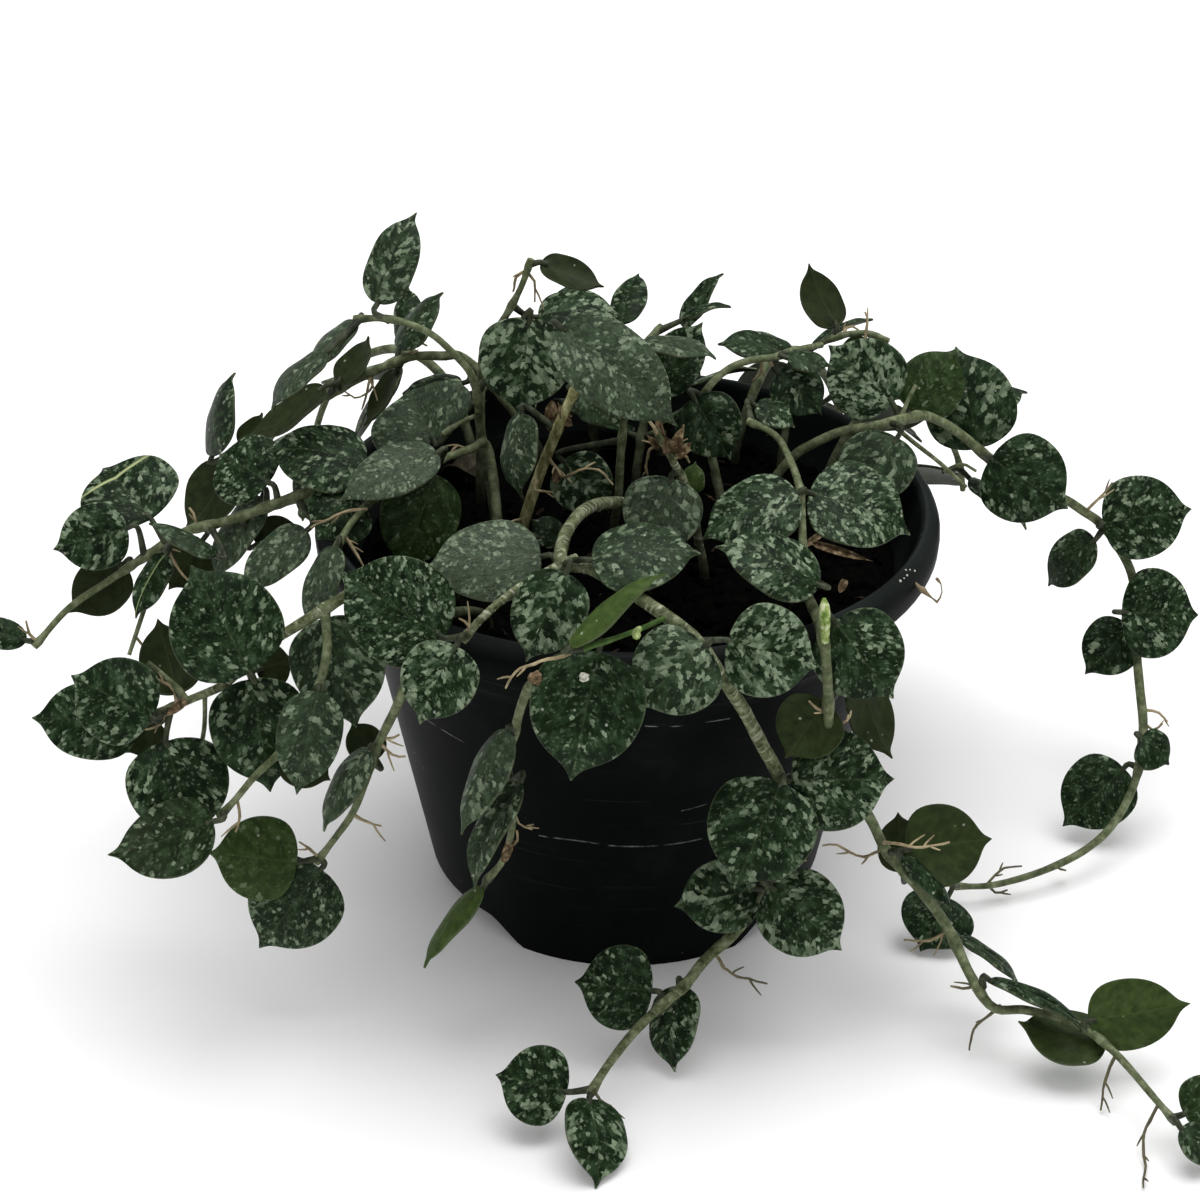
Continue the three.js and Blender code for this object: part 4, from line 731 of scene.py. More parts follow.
sided = add(waxy_leaf, "MixRGB", {}, {"Fac": fresh, "Color1": sided, "Color2": new_leaf})
# A thin pale line along the margin is a painted highlight, where the edge would catch the light.
rim = add(waxy_leaf, "ValToRGB", {"stops": [(0.955, "#000000"), (0.99, "#b0b0b0")]}, {"Fac": edge})
margin_highlighted = add(waxy_leaf, "MixRGB", {"Color2": linear("#596049")}, {"Fac": rim, "Color1": sided})
midrib = add(waxy_leaf, "ValToRGB", {"stops": [(0.012, "#505050"), (0.03, "#000000")]}, {"Fac": aside})
ribbed = add(waxy_leaf, "MixRGB", {"Color2": linear("#6c7350")}, {"Fac": midrib, "Color1": margin_highlighted})
# A few leaves have a thin raised midrib of pale yellow-green.
ridge = add(waxy_leaf, "MapRange", {"From Min": 0.045, "From Max": 0.02}, {"Value": aside})
ridge = add(waxy_leaf, "Math", {"operation": "MULTIPLY"}, {0: ridge, 1: rib})
ribbed = add(waxy_leaf, "MixRGB", {"Color2": linear("#8f9b68")}, {"Fac": ridge, "Color1": ribbed})
# One leaf is folded across, with a pale line in the crease.
crease = add(waxy_leaf, "MapRange", {"From Min": 0.03, "From Max": 0.012},
             {"Value": marks.outputs["Alpha"]})
ribbed = add(waxy_leaf, "MixRGB", {"Color2": linear("#a3ad7c")}, {"Fac": crease, "Color1": ribbed})
# Bits of pale grit and dried water spots, a few on each blade.
grit = add(waxy_leaf, "TexVoronoi", {"Scale": 1 / 5}, {"Vector": blades})
spots = add(waxy_leaf, "ValToRGB", {"stops": [(0.045, "#c8c8c8"), (0.075, "#000000")]}, {"Fac": grit})
spotted = add(waxy_leaf, "MixRGB", {"Color2": linear("#a9ad9d")}, {"Fac": spots, "Color1": ribbed})
skin = add(waxy_leaf, "TexNoise", {"Scale": 1 / 0.7, "Detail": 3}, {"Vector": blades})
relief = add(waxy_leaf, "Bump", {"Strength": 0.15, "Distance": 0.0003}, {"Height": skin})
gloss = add(waxy_leaf, "MapRange", {"To Min": 0.42, "To Max": 0.6}, {"Value": frayed})
dress(waxy_leaf, spotted, relief, gloss)


def blade_point(pose, share, across, face):
    """A point in mm on a posed blade: how far along, how far across, how far above its middle."""
    rise = (BLADE_ARCH * pose["length"] * 4 * share * (1 - share)
            - BLADE_DROOP * pose["width"] * across * across)
    return (pose["base"] + pose["axis"] * (share * pose["length"])
            + pose["right"] * (0.5 * pose["width"] * across)
            + pose["facing"] * (rise + face * BLADE))


def leaf_from(pose, name, skin):
    """A copy of the pattern blade, bent to its pose."""
    data = blade.data.copy()
    length, width = pose["length"], pose["width"]
    size = Vector((0.5 * width * pose["narrow"], length, 0))
    across, share, above = flat[:, 0], flat[:, 1], flat[:, 2]
    wave = numpy.sin(share * 9 + pose["chance"] * 6.3 + across * 2) * 0.02 * width
    rise = (pose["arch"] * length * 4 * share * (1 - share) - BLADE_DROOP * width * across ** 2
            + above * pose["thick"] * (1 - 0.35 * to_edge) + wave * abs(across) ** 3
            - 0.22 * numpy.exp(-(across * width / 1.6) ** 2) * (above > 0) * (1 - share)
            + pose["fold"] * width * (abs(across) - 0.35)
            - pose["curl"] * length * numpy.maximum(0, share - 0.62) ** 2)
    frame_of = numpy.array([pose["right"], pose["axis"], pose["facing"]])
    local = numpy.stack([across * size.x, share * size.y, rise], axis=1)
    placed = (local @ frame_of + numpy.array(pose["base"])) * MM
    data.vertices.foreach_set("co", placed.astype(numpy.float32).ravel())
    u = across[corner_point] * size.x
    v = share[corner_point] * size.y
    apart = pose["chance"] * 370
    uv = numpy.stack([u + apart, v], axis=1)
    data.uv_layers.new(name="blade").data.foreach_set("uv", uv.ravel())
    slant = numpy.stack([v - 0.4 * abs(u) + apart, abs(u) * 0.94 + corner_half * 40], axis=1)
    data.uv_layers.new(name="veins").data.foreach_set("uv", (slant * pose["grain"]).ravel())
    full = numpy.ones(len(u))
    for layer, values in (
            ("tone", (full * pose["silver"], full * pose["fresh"], corner_under * pose["shown"],
                      to_edge[corner_point])),
            ("marks", (full * pose["rib"], full * pose["sheen"], abs(across[corner_point]),
                       abs(share[corner_point] - pose["crease"])))):
        painted = data.color_attributes.new(layer, "FLOAT_COLOR", "CORNER").data
        painted.foreach_set("color", numpy.stack(values, axis=1).ravel())
    data.materials.append(skin)
    made = bpy.data.objects.new(name, data)
    bpy.context.collection.objects.link(made)
    return made


def leaf(base, tip, **how):
    """A leaf as it is seen: the picture points of its base and tip. tilt leans the tip
    away from the eye, turn rolls the blade to face upward, deep moves it back, wide is
    its width for a length of 1, narrow slims it to that share, under shows its underside."""
    return {"base": base, "tip": tip, **how}


def pose_seen(row, line, change):
    """Where a leaf of a seen stem stands, in mm."""
    eye = EYE / MM
    ahead = sight(PICTURE_MIDDLE, PICTURE_MIDDLE)
    deep_at = lambda spot, depth: eye + sight(*spot) * depth
    if "nearest" not in row:
        ray = sight(*row.get("node", row["base"]))

        def off(point):
            depth = (point - eye).dot(ahead)
            return ((point - eye) / depth - ray).length
        row["nearest"] = min(line, key=off)
    node = row["nearest"]
    depth = (node - eye).dot(ahead) + row.get("deep", 0) + change[0]
    base = deep_at(row["base"], depth)
    level = deep_at(row["tip"], depth)
    tilt = math.radians(row.get("tilt", 0) + change[2])
    tip = deep_at(row["tip"], depth + (base - level).length * math.tan(tilt))
    axis = (tip - base).normalized()
    to_eye = (eye - base).normalized()
    facing = (to_eye - axis * to_eye.dot(axis)).normalized()
    side = axis.cross(facing)
    turn = math.radians(row.get("turn", 0) + change[1]) * math.copysign(1, side.z)
    facing = facing * math.cos(turn) + side * math.sin(turn)
    if row.get("under"):
        facing = -facing
    length = (tip - base).length
    return {"node": node, "base": base, "axis": axis, "facing": facing, "right": axis.cross(facing),
            "length": length, "width": length * row.get("wide", BLADE_WIDTH), "away": -to_eye}


def pose_grown(row, line, change):
    """Where a leaf of a hidden stem stands: a share of the way along it, turned round it."""
    place = min(len(line) - 2, int(row["share"] * (len(line) - 1) + 0.5))
    node = line[place]
    along = (line[place + 1] - node).normalized()
    level = along.cross(Vector((0, 0, 1))).normalized()
    over = level.cross(along)
    round_ = row["round"] + math.radians(change[1] * 1.6)
    axis = (level * math.cos(round_) + over * math.sin(round_)
            + along * (0.45 + change[2] / 60) + Vector((0, 0, row["lift"]))).normalized()
    upright = Vector((node.x, node.y, 0)).normalized() * 0.5 + Vector((0, 0, 1))
    facing = (upright - axis * upright.dot(axis)).normalized()
    base = node + axis * (4 + max(0, change[0]) * 0.4)
    return {"node": node, "base": base, "axis": axis, "facing": facing, "right": axis.cross(facing),
            "length": row["length"], "width": row["length"] * BLADE_WIDTH}


# The ways in which a leaf is bent aside for its neighbours: deeper, turned or tilted.
BENDS = [(deep, turn, tilt) for deep in (0, -2, 2, -4, 4, -6, 6, -9, 9, -13, 13)
         for turn in (0, 10, -10, 22, -22) for tilt in (0, 14, -14, 28, -28)]
BENDS.sort(key=lambda bend: abs(bend[0]) * 3 + abs(bend[1]) + abs(bend[2]))
LANDMARKS = [(0.34, 1), (0.34, -1), (0.68, 0.82), (0.68, -0.82), (1, 0)]


def settled(row, line, solid_points, pose_of):
    """The pose that the solid model gave the leaf, found by the corners of its blade."""
    best, least = None, 1e9
    for change in BENDS:
        pose = pose_of(row, line, change)
        miss = 0
        for share, across in LANDMARKS:
            found = solid_points.find(blade_point(pose, share, across, 0.5))
            miss += min(found[2], 3)
            if miss >= least:
                break
        if miss < least:
            best, least = pose, miss
        if least < 0.1:
            break
    return best, least


def stalk_way(pose):
    """A leaf stalk's way: straight back from the blade, and round to the stem."""
    base, node, back = pose["base"], pose["node"], -pose["axis"]
    reach = (base - node).length
    elbow = base + back * min(2, max(0.6, 0.4 * reach))
    run = (node - elbow).normalized()
    into = base - back * 1.6 - pose["facing"] * 0.35
    if run.dot(back) > 0.5:
        return [into, base - pose["facing"] * 0.3, node]
    return [into, base - pose["facing"] * 0.3, elbow, node]


def stem(radius, *points, skin=None):
    """A stem's radius, the way it runs and its skin. Each of its points is across and down
    the picture and at a height, and its first stretch may be a planted one."""
    way = []
    for point in points:
        way += point if isinstance(point, list) else [seen(*point)]
    return radius, way, skin or (old_bark if radius >= 1.3 else young_skin)


CROWN = 108.5               # leaves of hidden stems whose tips are higher stay slim
# How far along a bud each place is, and how thick the bud is there.
BUD_SHAPE = ((0, 0.8), (0.4, 0.95), (0.8, 1.2), (0.95, 0.9), (1, 0.35))
ROOT_THINS = 0.5            # by the root's end
ROOTLET = (0.26, 0.24, 0.2, 0.12)       # its radii
# How a leaf looks where its row says nothing. A crease of 9 lies well off the blade.
PLAIN_LEAF = {"fresh": 0, "narrow": 1, "shown": 1, "rib": 0, "crease": 9, "thick": BLADE,
              "arch": BLADE_ARCH}
chance = random.Random(11)
noise.seed_set(11)          # for the roots' wander, which would change from run to run
placed = {}


def joined(bits, name):
    """The bits as one smooth object."""
    bpy.ops.object.select_all(action="DESELECT")
    for bit in bits:
        bit.select_set(True)
    bpy.context.view_layer.objects.active = bits[0]
    bpy.ops.object.join()
    whole = bpy.context.object
    whole.name = name
    bpy.ops.object.shade_smooth()
    return whole


def nearest(line, spot):
    """The point of a line that is nearest to a spot."""
    return min(line, key=lambda point: (point - spot).length)


def young_pair(line):
    """The pair of young leaves that ends a hidden stem."""
    end = line[-1]
    ahead = (end - line[-4]).normalized()
    pair = []
    for side in (1, -1):
        axis = (ahead * 0.6 + ahead.cross(Vector((0, 0, 1))) * side * 0.8).normalized()
        facing = Vector((end.x, end.y, 60))
        facing = (facing - axis * facing.dot(axis)).normalized()
        pose = {"node": end, "base": end + axis * 1.6, "axis": axis, "facing": facing,
                "right": axis.cross(facing), "length": 8.5 + side, "width": 5.5}
        pair.append(({"fresh": 0.8, "silver": 0.1, "curl": 0}, pose, 0))
    return pair


def stem_radii(radius, rings, nodes):
    """The radii of a stem, which thins to its end and swells at its nodes."""
    radii = []
    for k, ring in enumerate(rings):
        near = min([(node - ring).length for node in nodes] + [99])
        swell = 0.32 * math.exp(-(near / 1.7) ** 2)
        left = (len(rings) - 1 - k) * FINE_STEP
        thin = min(1, 0.6 + left / 180)
        radii.append(radius * thin * (1 + 0.07 * noise.noise(ring / 5)) + swell)
    return radii


def root_runs(roots, line):
    """The rods of the roots, which wander a little, and of the rootlets that fork off them."""
    runs = []
    for marks in roots:
        way = [seen(*mark) for mark in marks]
        rings = along_path([nearest(line, way[0])] + way[1:], FINE_STEP)
        radii = [ROOT * (1.05 - ROOT_THINS * k / (len(rings) - 1)) for k in range(len(rings))]
        shaken = [ring + noise.noise_vector(ring / 3.5) * 0.5 * min(1, k / 3)
                  for k, ring in enumerate(rings)]
        radii = [r * (1 + 0.3 * noise.noise(p / 1.7)) for r, p in zip(radii, shaken)]
        runs.append((shaken, radii, root_cork))
        for _ in range(min(3, len(rings) // 4)):
            k = chance.randrange(1, len(rings) - 1)
            ahead = (rings[k + 1] - rings[k]).normalized()
            aside = Vector([chance.uniform(-1, 1) for _ in range(3)])
            aside = (aside - ahead * aside.dot(ahead)).normalized()
            long = chance.uniform(1.6, 4.2)
            fork = [shaken[k] + ahead * (long * t) + aside * (long * 0.75 * t ** 0.8)
                    for t in (0, 0.3, 0.65, 1)]
            if min(point.z for point in fork) > 0.5:
                runs.append((fork, ROOTLET, root_cork))
    return runs


def give_looks(pose, row):
    """The leaf's own pattern and bend, drawn by chance where its row doesn't say."""
    pose["chance"] = chance.random()
    pose["silver"] = row.get("silver", chance.uniform(0.1, 0.75))
    pose["grain"] = row.get("grain", 0.85 + 0.45 * (pose["chance"] * 7 % 1))
    pose["sheen"] = row.get("sheen", chance.choice((0, 0, 0, 0.1)))
    pose["fold"] = row.get("fold", chance.uniform(-0.04, 0.12))
    pose["curl"] = row.get("curl", chance.uniform(-0.1, 0.5))
    for key, plain in PLAIN_LEAF.items():
        pose[key] = row.get(key, plain)
    if "behind" in row:
        pose["base"] = pose["base"] + pose["away"] * row["behind"]


def vine(name, stems, roots, leaves, grown=(), cut=0):
    """Makes one vine: its stems, roots, stalks and leaves, as one piece. A hidden stem has
    grown leaves and ends in a young pair, or is cut short by a number of rings."""
    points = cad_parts[name].data.vertices
    solid_points = KDTree(len(points))
    for k, point in enumerate(points):
        solid_points.insert(point.co / MM, k)
    solid_points.balance()
    line = []
    ways = []
    for radius, way, skin in stems:
        if line:
            way = [nearest(line, way[0])] + way[1:]
        line += middle_of(way)[:-1]
        ways.append((radius, way, skin))
    poses = [(row, *settled(row, line, solid_points, pose_seen)) for row in leaves]
    for row in grown:
        pose, miss = settled(row, line, solid_points, pose_grown)
        if miss < 1:
            if pose["base"].z + pose["axis"].z * pose["length"] > CROWN:
                row = {**row, "narrow": 0.42, "silver": 0.2}
                pose["length"] *= 0.8
            poses.append((row, pose, miss))
    if grown and not cut:
        poses += young_pair(line)
    runs = []
    for radius, way, skin in ways:
        rings = along_path(way, FINE_STEP)
        rings = rings[:len(rings) - cut]
        if skin is bud_skin:
            share = numpy.linspace(0, 1, len(rings))
            radii = radius * numpy.interp(share, *zip(*BUD_SHAPE))
        else:
            radii = stem_radii(radius, rings, [pose["node"] for _, pose, _ in poses])
        runs.append((rings, radii, skin))
    for row, pose, miss in poses:
        if miss > 0.3:
            print("leaf off its solid:", name, row.get("base"), round(miss, 2))
        way = along_path(stalk_way(pose), 0.8)
        radii = [0.62 + 0.3 * (k / (len(way) - 1)) ** 2 for k in range(len(way))]
        runs.append((way, radii, dark_stalk))
    bits = [rods(name + "_stems", runs, 2)]
    runs = root_runs(roots, line)
    if runs:
        bits.append(rods(name + "_roots", runs, 1))
    for number, (row, pose, _) in enumerate(poses):
        placed[name, row.get("base")] = pose
        give_looks(pose, row)
        bits.append(leaf_from(pose, "%s_leaf_%d" % (name, number), waxy_leaf))
    whole = joined(bits, name.replace("vine", "hoya"))
    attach(whole, "root")
    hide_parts(name)


# -------------------------------------------------------------------------- the vines
# Sixteen leafy stems that the front shows, and six behind. Each is rooted in the mix and
# carries its own leaves and roots. The points of stems and roots are across and down the
# picture, and at a height in mm.

vine("vine_arch_left", [
  stem(STEM, planted(-30, 6), (480, 425, 108), (478, 402, 118), (471, 374, 126),
    (453, 353, 131), (428, 332, 135), (389, 319, 137), (354, 319, 136)),
  stem(SHOOT, (479, 412, 113), (458, 424, 113), (443, 434, 111)),
], [], [
  leaf((377, 303), (413, 212), turn=28, node=(389, 319), narrow=0.62, silver=0.5, sheen=0.17),
  leaf((356, 321), (307, 374), turn=72, silver=0.3, sheen=0.44),
  leaf((326, 352), (268, 406), turn=72, deep=4, silver=0.3, sheen=0.33),
  leaf((434, 440), (405, 388), wide=1.45, tilt=35, silver=0.2, sheen=0.33),
  leaf((530, 318), (519, 414), wide=0.98, node=(478, 395), deep=-4, sheen=0, silver=0.8, grain=0.8),
])

vine("vine_left_back", [
  stem(STEM, planted(-20, 38), (462, 357, 110), (443, 356, 112), (410, 357, 112),
    (369, 374, 108), (331, 394, 103), (290, 418, 97), (250, 442, 90),
    (224, 459, 85)),
], [
  [(372, 374, 108), (370, 390, 103), (356, 398, 101), (345, 392, 103)],
  [(372, 375, 108), (366, 394, 104), (362, 410, 100)],
  [(410, 357, 112), (416, 342, 116), (428, 347, 115)],
], [
  leaf((398, 348), (442, 293), turn=66, silver=0.2),
  leaf((339, 384), (371, 339), turn=60, under=True),
  leaf((325, 388), (247, 440), turn=64, under=True, narrow=0.7),
  leaf((398, 370), (365, 425), turn=64, under=True, narrow=0.7),
  leaf((211, 456), (231, 373), turn=72, silver=0.15),
  leaf((240, 444), (263, 414), turn=60, under=True),
  leaf((462, 382), (403, 392), turn=68, deep=8, silver=0.3),
  leaf((230, 464), (189, 531), turn=45, under=True, deep=5),
])

vine("vine_top", [
  stem(STEM, planted(-34, 20), (482, 360, 120), (486, 346, 126), (508, 312, 137),
    (522, 285, 144), (531, 259, 150)),
], [
  [(528, 270, 147), (535, 284, 144), (534, 302, 140)],
  [(526, 272, 147), (516, 277, 146), (513, 292, 142)],
], [
  leaf((541, 263), (603, 286), turn=38, under=True, narrow=0.62),
  leaf((538, 316), (620, 314), turn=48, deep=10, silver=0.6),
])

vine("vine_old_wood", [
  stem(1.5, planted(-24, -2), (524, 522, 92), (540, 473, 104), (552, 443, 113),
    (563, 415, 121), (580, 379, 131), (584, 355, 137), (570, 335, 141), skin=tan_wood),
], [
  [(550, 474, 107), (566, 477, 108), (585, 468, 111), (600, 471, 110),
    (612, 484, 107)],
  [(538, 480, 103), (534, 489, 101), (553, 492, 101)],
  [(526, 518, 93), (512, 521, 94), (503, 526, 93)],
], [
  leaf((560, 326), (677, 422), wide=0.78, turn=12, narrow=0.72, silver=0.45, sheen=0.39, grain=1.35),
  leaf((521, 414), (517, 496), turn=62, deep=-3, silver=0.45, sheen=0.19),
  leaf((578, 391), (633, 414), turn=20, deep=9, silver=0.3, sheen=0.17),
  leaf((561, 541), (532, 520), turn=20, deep=10, silver=0.2),
])

vine("vine_upright", [
  stem(STEM, planted(-3, 4), (618, 500, 95), (621, 450, 107), (626, 404, 118),
    (632, 375, 125), (645, 345, 130), (662, 326, 133)),
], [], [
  leaf((563, 461), (608, 512), node=(619, 440), deep=9, silver=0.5),
  leaf((655, 392), (702, 323), deep=8, silver=0.3, narrow=0.7),
  leaf((645, 341), (716, 353), turn=74, silver=0.4, sheen=0.39),
  leaf((682, 319), (729, 303), turn=74, silver=0.2, narrow=0.5),
  leaf((622, 390), (592, 425), deep=12, turn=20, silver=0.5),
])

vine("vine_dry_roots", [
  stem(1.3, planted(17, -16), (698, 540, 94), (693, 505, 103), (683, 481, 109),
    (668, 452, 117), (655, 430, 122)),
], [
  [(668, 452, 117), (680, 440, 119), (683, 424, 122)],
  [(662, 442, 119), (650, 452, 114), (646, 468, 109), (650, 484, 104)],
  [(660, 440, 120), (652, 424, 124), (640, 412, 126)],
  [(672, 458, 115), (684, 455, 115), (690, 463, 112)],
], [
  leaf((671, 478), (650, 556), deep=7, wide=1, silver=0.55, sheen=0.39),
  leaf((692, 494), (695, 462), wide=0.8, turn=20, deep=3, fresh=0.7),
])

vine("vine_front", [
  stem(1.4, planted(8, -8), (641, 514, 99), (630, 505, 103), (606, 503, 107),
    (585, 510, 110), (570, 526, 111.5), (563, 542, 111.5), (562, 562, 110),
    (590, 568, 109.5), (620, 586, 108), (650, 605, 106.5), (690, 635, 103),
    (712, 662, 98), (732, 692, 89.5), (745, 712, 83), (762, 745, 74),
    (778, 775, 66), (782, 805, 58), (777, 850, 46), (765, 888, 36),
    (735, 932, 26), (705, 960, 21.5), (684, 986, 18.5), (662, 1005, 16.5),
    (635, 1031, 14.5), (606, 1068, 12), (590, 1094, 10.5)),
  stem(1.3, (562, 562, 110), (530, 581, 108), (500, 602, 105.5),
    (480, 620, 103), (462, 641, 99)),
  stem(SHOOT, (668, 618, 105), (640, 629, 107), (610, 640, 108),
    (578, 650, 107), skin=green_shoot),
  stem(SHOOT, (640, 629, 107), (636, 633, 109.5), (637, 637, 111), skin=bud_skin),
], [
  [(580, 650, 107), (560, 655, 106), (535, 664, 104), (516, 672, 102),
    (505, 687, 98)],
  [(466, 638, 99.5), (468, 624, 103), (459, 618, 104)],
  [(588, 1096, 10.5), (601, 1100, 9), (614, 1110, 6)],
  [(712, 955, 22), (730, 972, 15), (768, 984, 9)],
  [(777, 852, 46), (789, 852, 44), (806, 861, 39)],
], [
  leaf((444, 638), (341, 573), wide=0.9, sheen=0, grain=1.45, silver=0.36),
  leaf((456, 646), (418, 722), wide=0.98, turn=20, silver=0.58, sheen=0),
  leaf((541, 556), (425, 568), wide=0.8, turn=30, node=(560, 562), silver=0.45, sheen=0.5, grain=1.4),
  leaf((566, 573), (526, 660), wide=0.8, turn=8, silver=0.55, sheen=0, grain=0.95),
  leaf((592, 559), (699, 552), wide=0.85, turn=42, node=(575, 563), sheen=0.17, silver=0.42),
  leaf((705, 645), (637, 706), wide=1.05, silver=0.58, sheen=0.11, grain=0.9),
  leaf((728, 640), (818, 666), wide=1.02, node=(694, 638), sheen=0, silver=0.78, grain=1.1),
  leaf((599, 652), (571, 779), wide=0.9, node=(601, 643), deep=3, sheen=0, silver=0.04),
  leaf((570, 646), (661, 571), turn=62, node=(578, 650), deep=-3, wide=0.7, fresh=1, narrow=0.5),
  leaf((781, 783), (735, 887), wide=0.98, deep=2, sheen=0, silver=0.42, grain=0.95),
  leaf((791, 780), (893, 779), wide=1.02, deep=-3, sheen=0, silver=0.52, grain=1.15),
  leaf((757, 889), (676, 906), wide=0.9, silver=0.58, sheen=0, grain=0.85),
  leaf((771, 886), (841, 950), wide=0.92, silver=0.5, sheen=0),
  leaf((652, 991), (576, 982), wide=1.12, sheen=0, silver=0.25),
  leaf((678, 986), (671, 1070), wide=0.75, turn=38, silver=0.48, sheen=0),
  leaf((567, 1092), (497, 1075), wide=1.12, sheen=0, silver=0.35),
  leaf((590, 1098), (599, 1185), wide=0.8, turn=34, silver=0.5),
])

vine("vine_left_outer", [
  stem(1.35, planted(-38, -26), (385, 576, 98), (360, 588, 99.5), (339, 600, 99),
    (300, 624, 95), (273, 641, 91), (248, 662, 86), (225, 684, 80),
    (189, 700, 75), (168, 709, 73), (153, 716, 72)),
  stem(SHOOT, (188, 699, 75), (168, 679, 79), (148, 662, 82)),
  stem(SHOOT, (205, 694, 77), (204, 730, 68), (198, 758, 63)),
  stem(STEM, (324, 610, 97.5), (327, 650, 91), (314, 700, 81), (290, 742, 73),
    (255, 776, 66), (235, 800, 61), (219, 817, 57)),
], [
  [(168, 709, 73), (160, 725, 68), (146, 730, 65)],
  [(180, 704, 74), (174, 690, 77), (164, 682, 79), (152, 678, 78)],
  [(235, 800, 61), (240, 818, 57), (236, 832, 53)],
], [
  leaf((250, 673), (192, 567), wide=0.95, node=(246, 664), deep=-2, sheen=0, silver=0.22, grain=1.1),
  leaf((251, 679), (270, 790), wide=0.88, node=(249, 662), sheen=0, silver=0.32, grain=0.8),
  leaf((152, 718), (72, 676), wide=0.98, deep=-2, silver=0.42, sheen=0, grain=1),
  leaf((140, 722), (32, 718), wide=0.74, deep=9, silver=0.4, sheen=0),
  leaf((166, 741), (195, 840), wide=1, node=(170, 709), silver=0.28, sheen=0, grain=1.05),
  leaf((160, 723), (126, 752), wide=1.1, deep=12, under=True),
  leaf((178, 694), (158, 620), deep=12, under=True, wide=0.8),
  leaf((214, 822), (111, 856), wide=0.8, turn=30, under=True, silver=0.2, shown=0.3),
  leaf((318, 692), (297, 793), wide=0.8, deep=3, silver=0.4, narrow=0.8, sheen=0.22),
  leaf((325, 618), (356, 726), wide=0.85, deep=4, node=(324, 612), silver=0.45, sheen=0.1),
  leaf((256, 670), (293, 659), wide=1.2, deep=7, under=True),
  leaf((284, 752), (330, 780), deep=12, under=True),
])

vine("vine_left_front", [
  stem(STEM, planted(-30, -38), (440, 618, 98), (430, 634, 98.5), (415, 658, 96),
    (403, 690, 88), (396, 708, 82), (378, 745, 71), (365, 782, 61),
    (352, 814, 51), (335, 838, 44), (316, 863, 38)),
], [
  [(382, 738, 73), (390, 739, 72), (400, 735, 73)],
  [(381, 742, 72), (392, 756, 68), (406, 756, 68)],
  [(352, 814, 51), (364, 821, 49), (381, 826, 47)],
  [(318, 860, 39), (308, 848, 42), (299, 843, 44)],
], [
  leaf((369, 749), (322, 829), wide=0.8, turn=45, silver=0.5, narrow=0.7, sheen=0.33),
  leaf((297, 862), (210, 853), wide=0.98, fresh=0.55, silver=0.2),
  leaf((321, 869), (260, 947), wide=0.98, silver=0.42),
  leaf((376, 760), (352, 722), deep=9, under=True, turn=20),
])

vine("vine_far_left", [
  stem(STEM, planted(-44, -6), (403, 478, 102), (385, 478, 103.5),
    (358, 480, 104), (325, 486, 103), (296, 497, 101), (264, 508, 98),
    (223, 522, 94), (184, 532, 90), (163, 545, 87), (140, 560, 84),
    (110, 580, 80), (69, 608, 75), (34, 647, 69)),
  stem(SHOOT, (165, 544, 87), (152, 585, 79), (142, 616, 74), (129, 655, 67)),
], [
  [(166, 544, 87), (174, 562, 82), (188, 581, 78)],
  [(188, 531, 90), (196, 522, 92), (190, 508, 95)],
  [(34, 646, 69), (30, 634, 72), (26, 621, 75)],
  [(134, 640, 69), (150, 652, 66), (172, 660, 65), (180, 680, 61)],
], [
  leaf((150, 517), (102, 464), wide=1.1, tilt=35, turn=15, silver=0.55, crease=0.7),
  leaf((127, 528), (54, 549), wide=0.9, turn=8, silver=0.5),
  leaf((124, 564), (72, 613), wide=0.85, turn=20, under=True),
  leaf((166, 554), (135, 617), wide=0.8, turn=42, silver=0.3, narrow=0.7, rib=0.8),
  leaf((217, 555), (150, 524), turn=62, deep=-3, wide=0.8, silver=0.25, narrow=0.6),
  leaf((203, 540), (170, 589), deep=7, under=True, turn=10),
  leaf((268, 482), (218, 453), wide=1.25, tilt=35, turn=10, silver=0.3, narrow=0.85),
  leaf((261, 497), (211, 579), wide=0.8, turn=50, silver=0.4, narrow=0.7, sheen=0.44),
  leaf((306, 530), (241, 590), wide=0.8, turn=35, silver=0.45, narrow=0.75, sheen=0.39),
  leaf((256, 545), (300, 526), deep=9, under=True),
  leaf((26, 640), (-50, 622), wide=0.85, turn=20, narrow=0.5, silver=0.3),
])

vine("vine_pot_front", [
  stem(STEM, planted(-10, -40), (588, 632, 99), (578, 650, 99.5), (565, 664, 98),
    (546, 674, 96), (532, 683, 93), (524, 698, 88), (515, 730, 78),
    (508, 770, 67), (513, 818, 54), (503, 860, 43), (485, 882, 37)),
], [
  [(510, 845, 47), (517, 843, 47), (516, 830, 51)],
  [(511, 800, 59), (521, 825, 51), (531, 829, 50)],
], [
  leaf((507, 730), (463, 833), wide=0.72, turn=48, silver=0.45, narrow=0.66, sheen=0.33),
  leaf((519, 782), (468, 887), wide=0.7, turn=50, silver=0.5, narrow=0.6, sheen=0.17),
  leaf((482, 887), (424, 966), wide=0.72, turn=60, fresh=0.9, narrow=0.55),
])

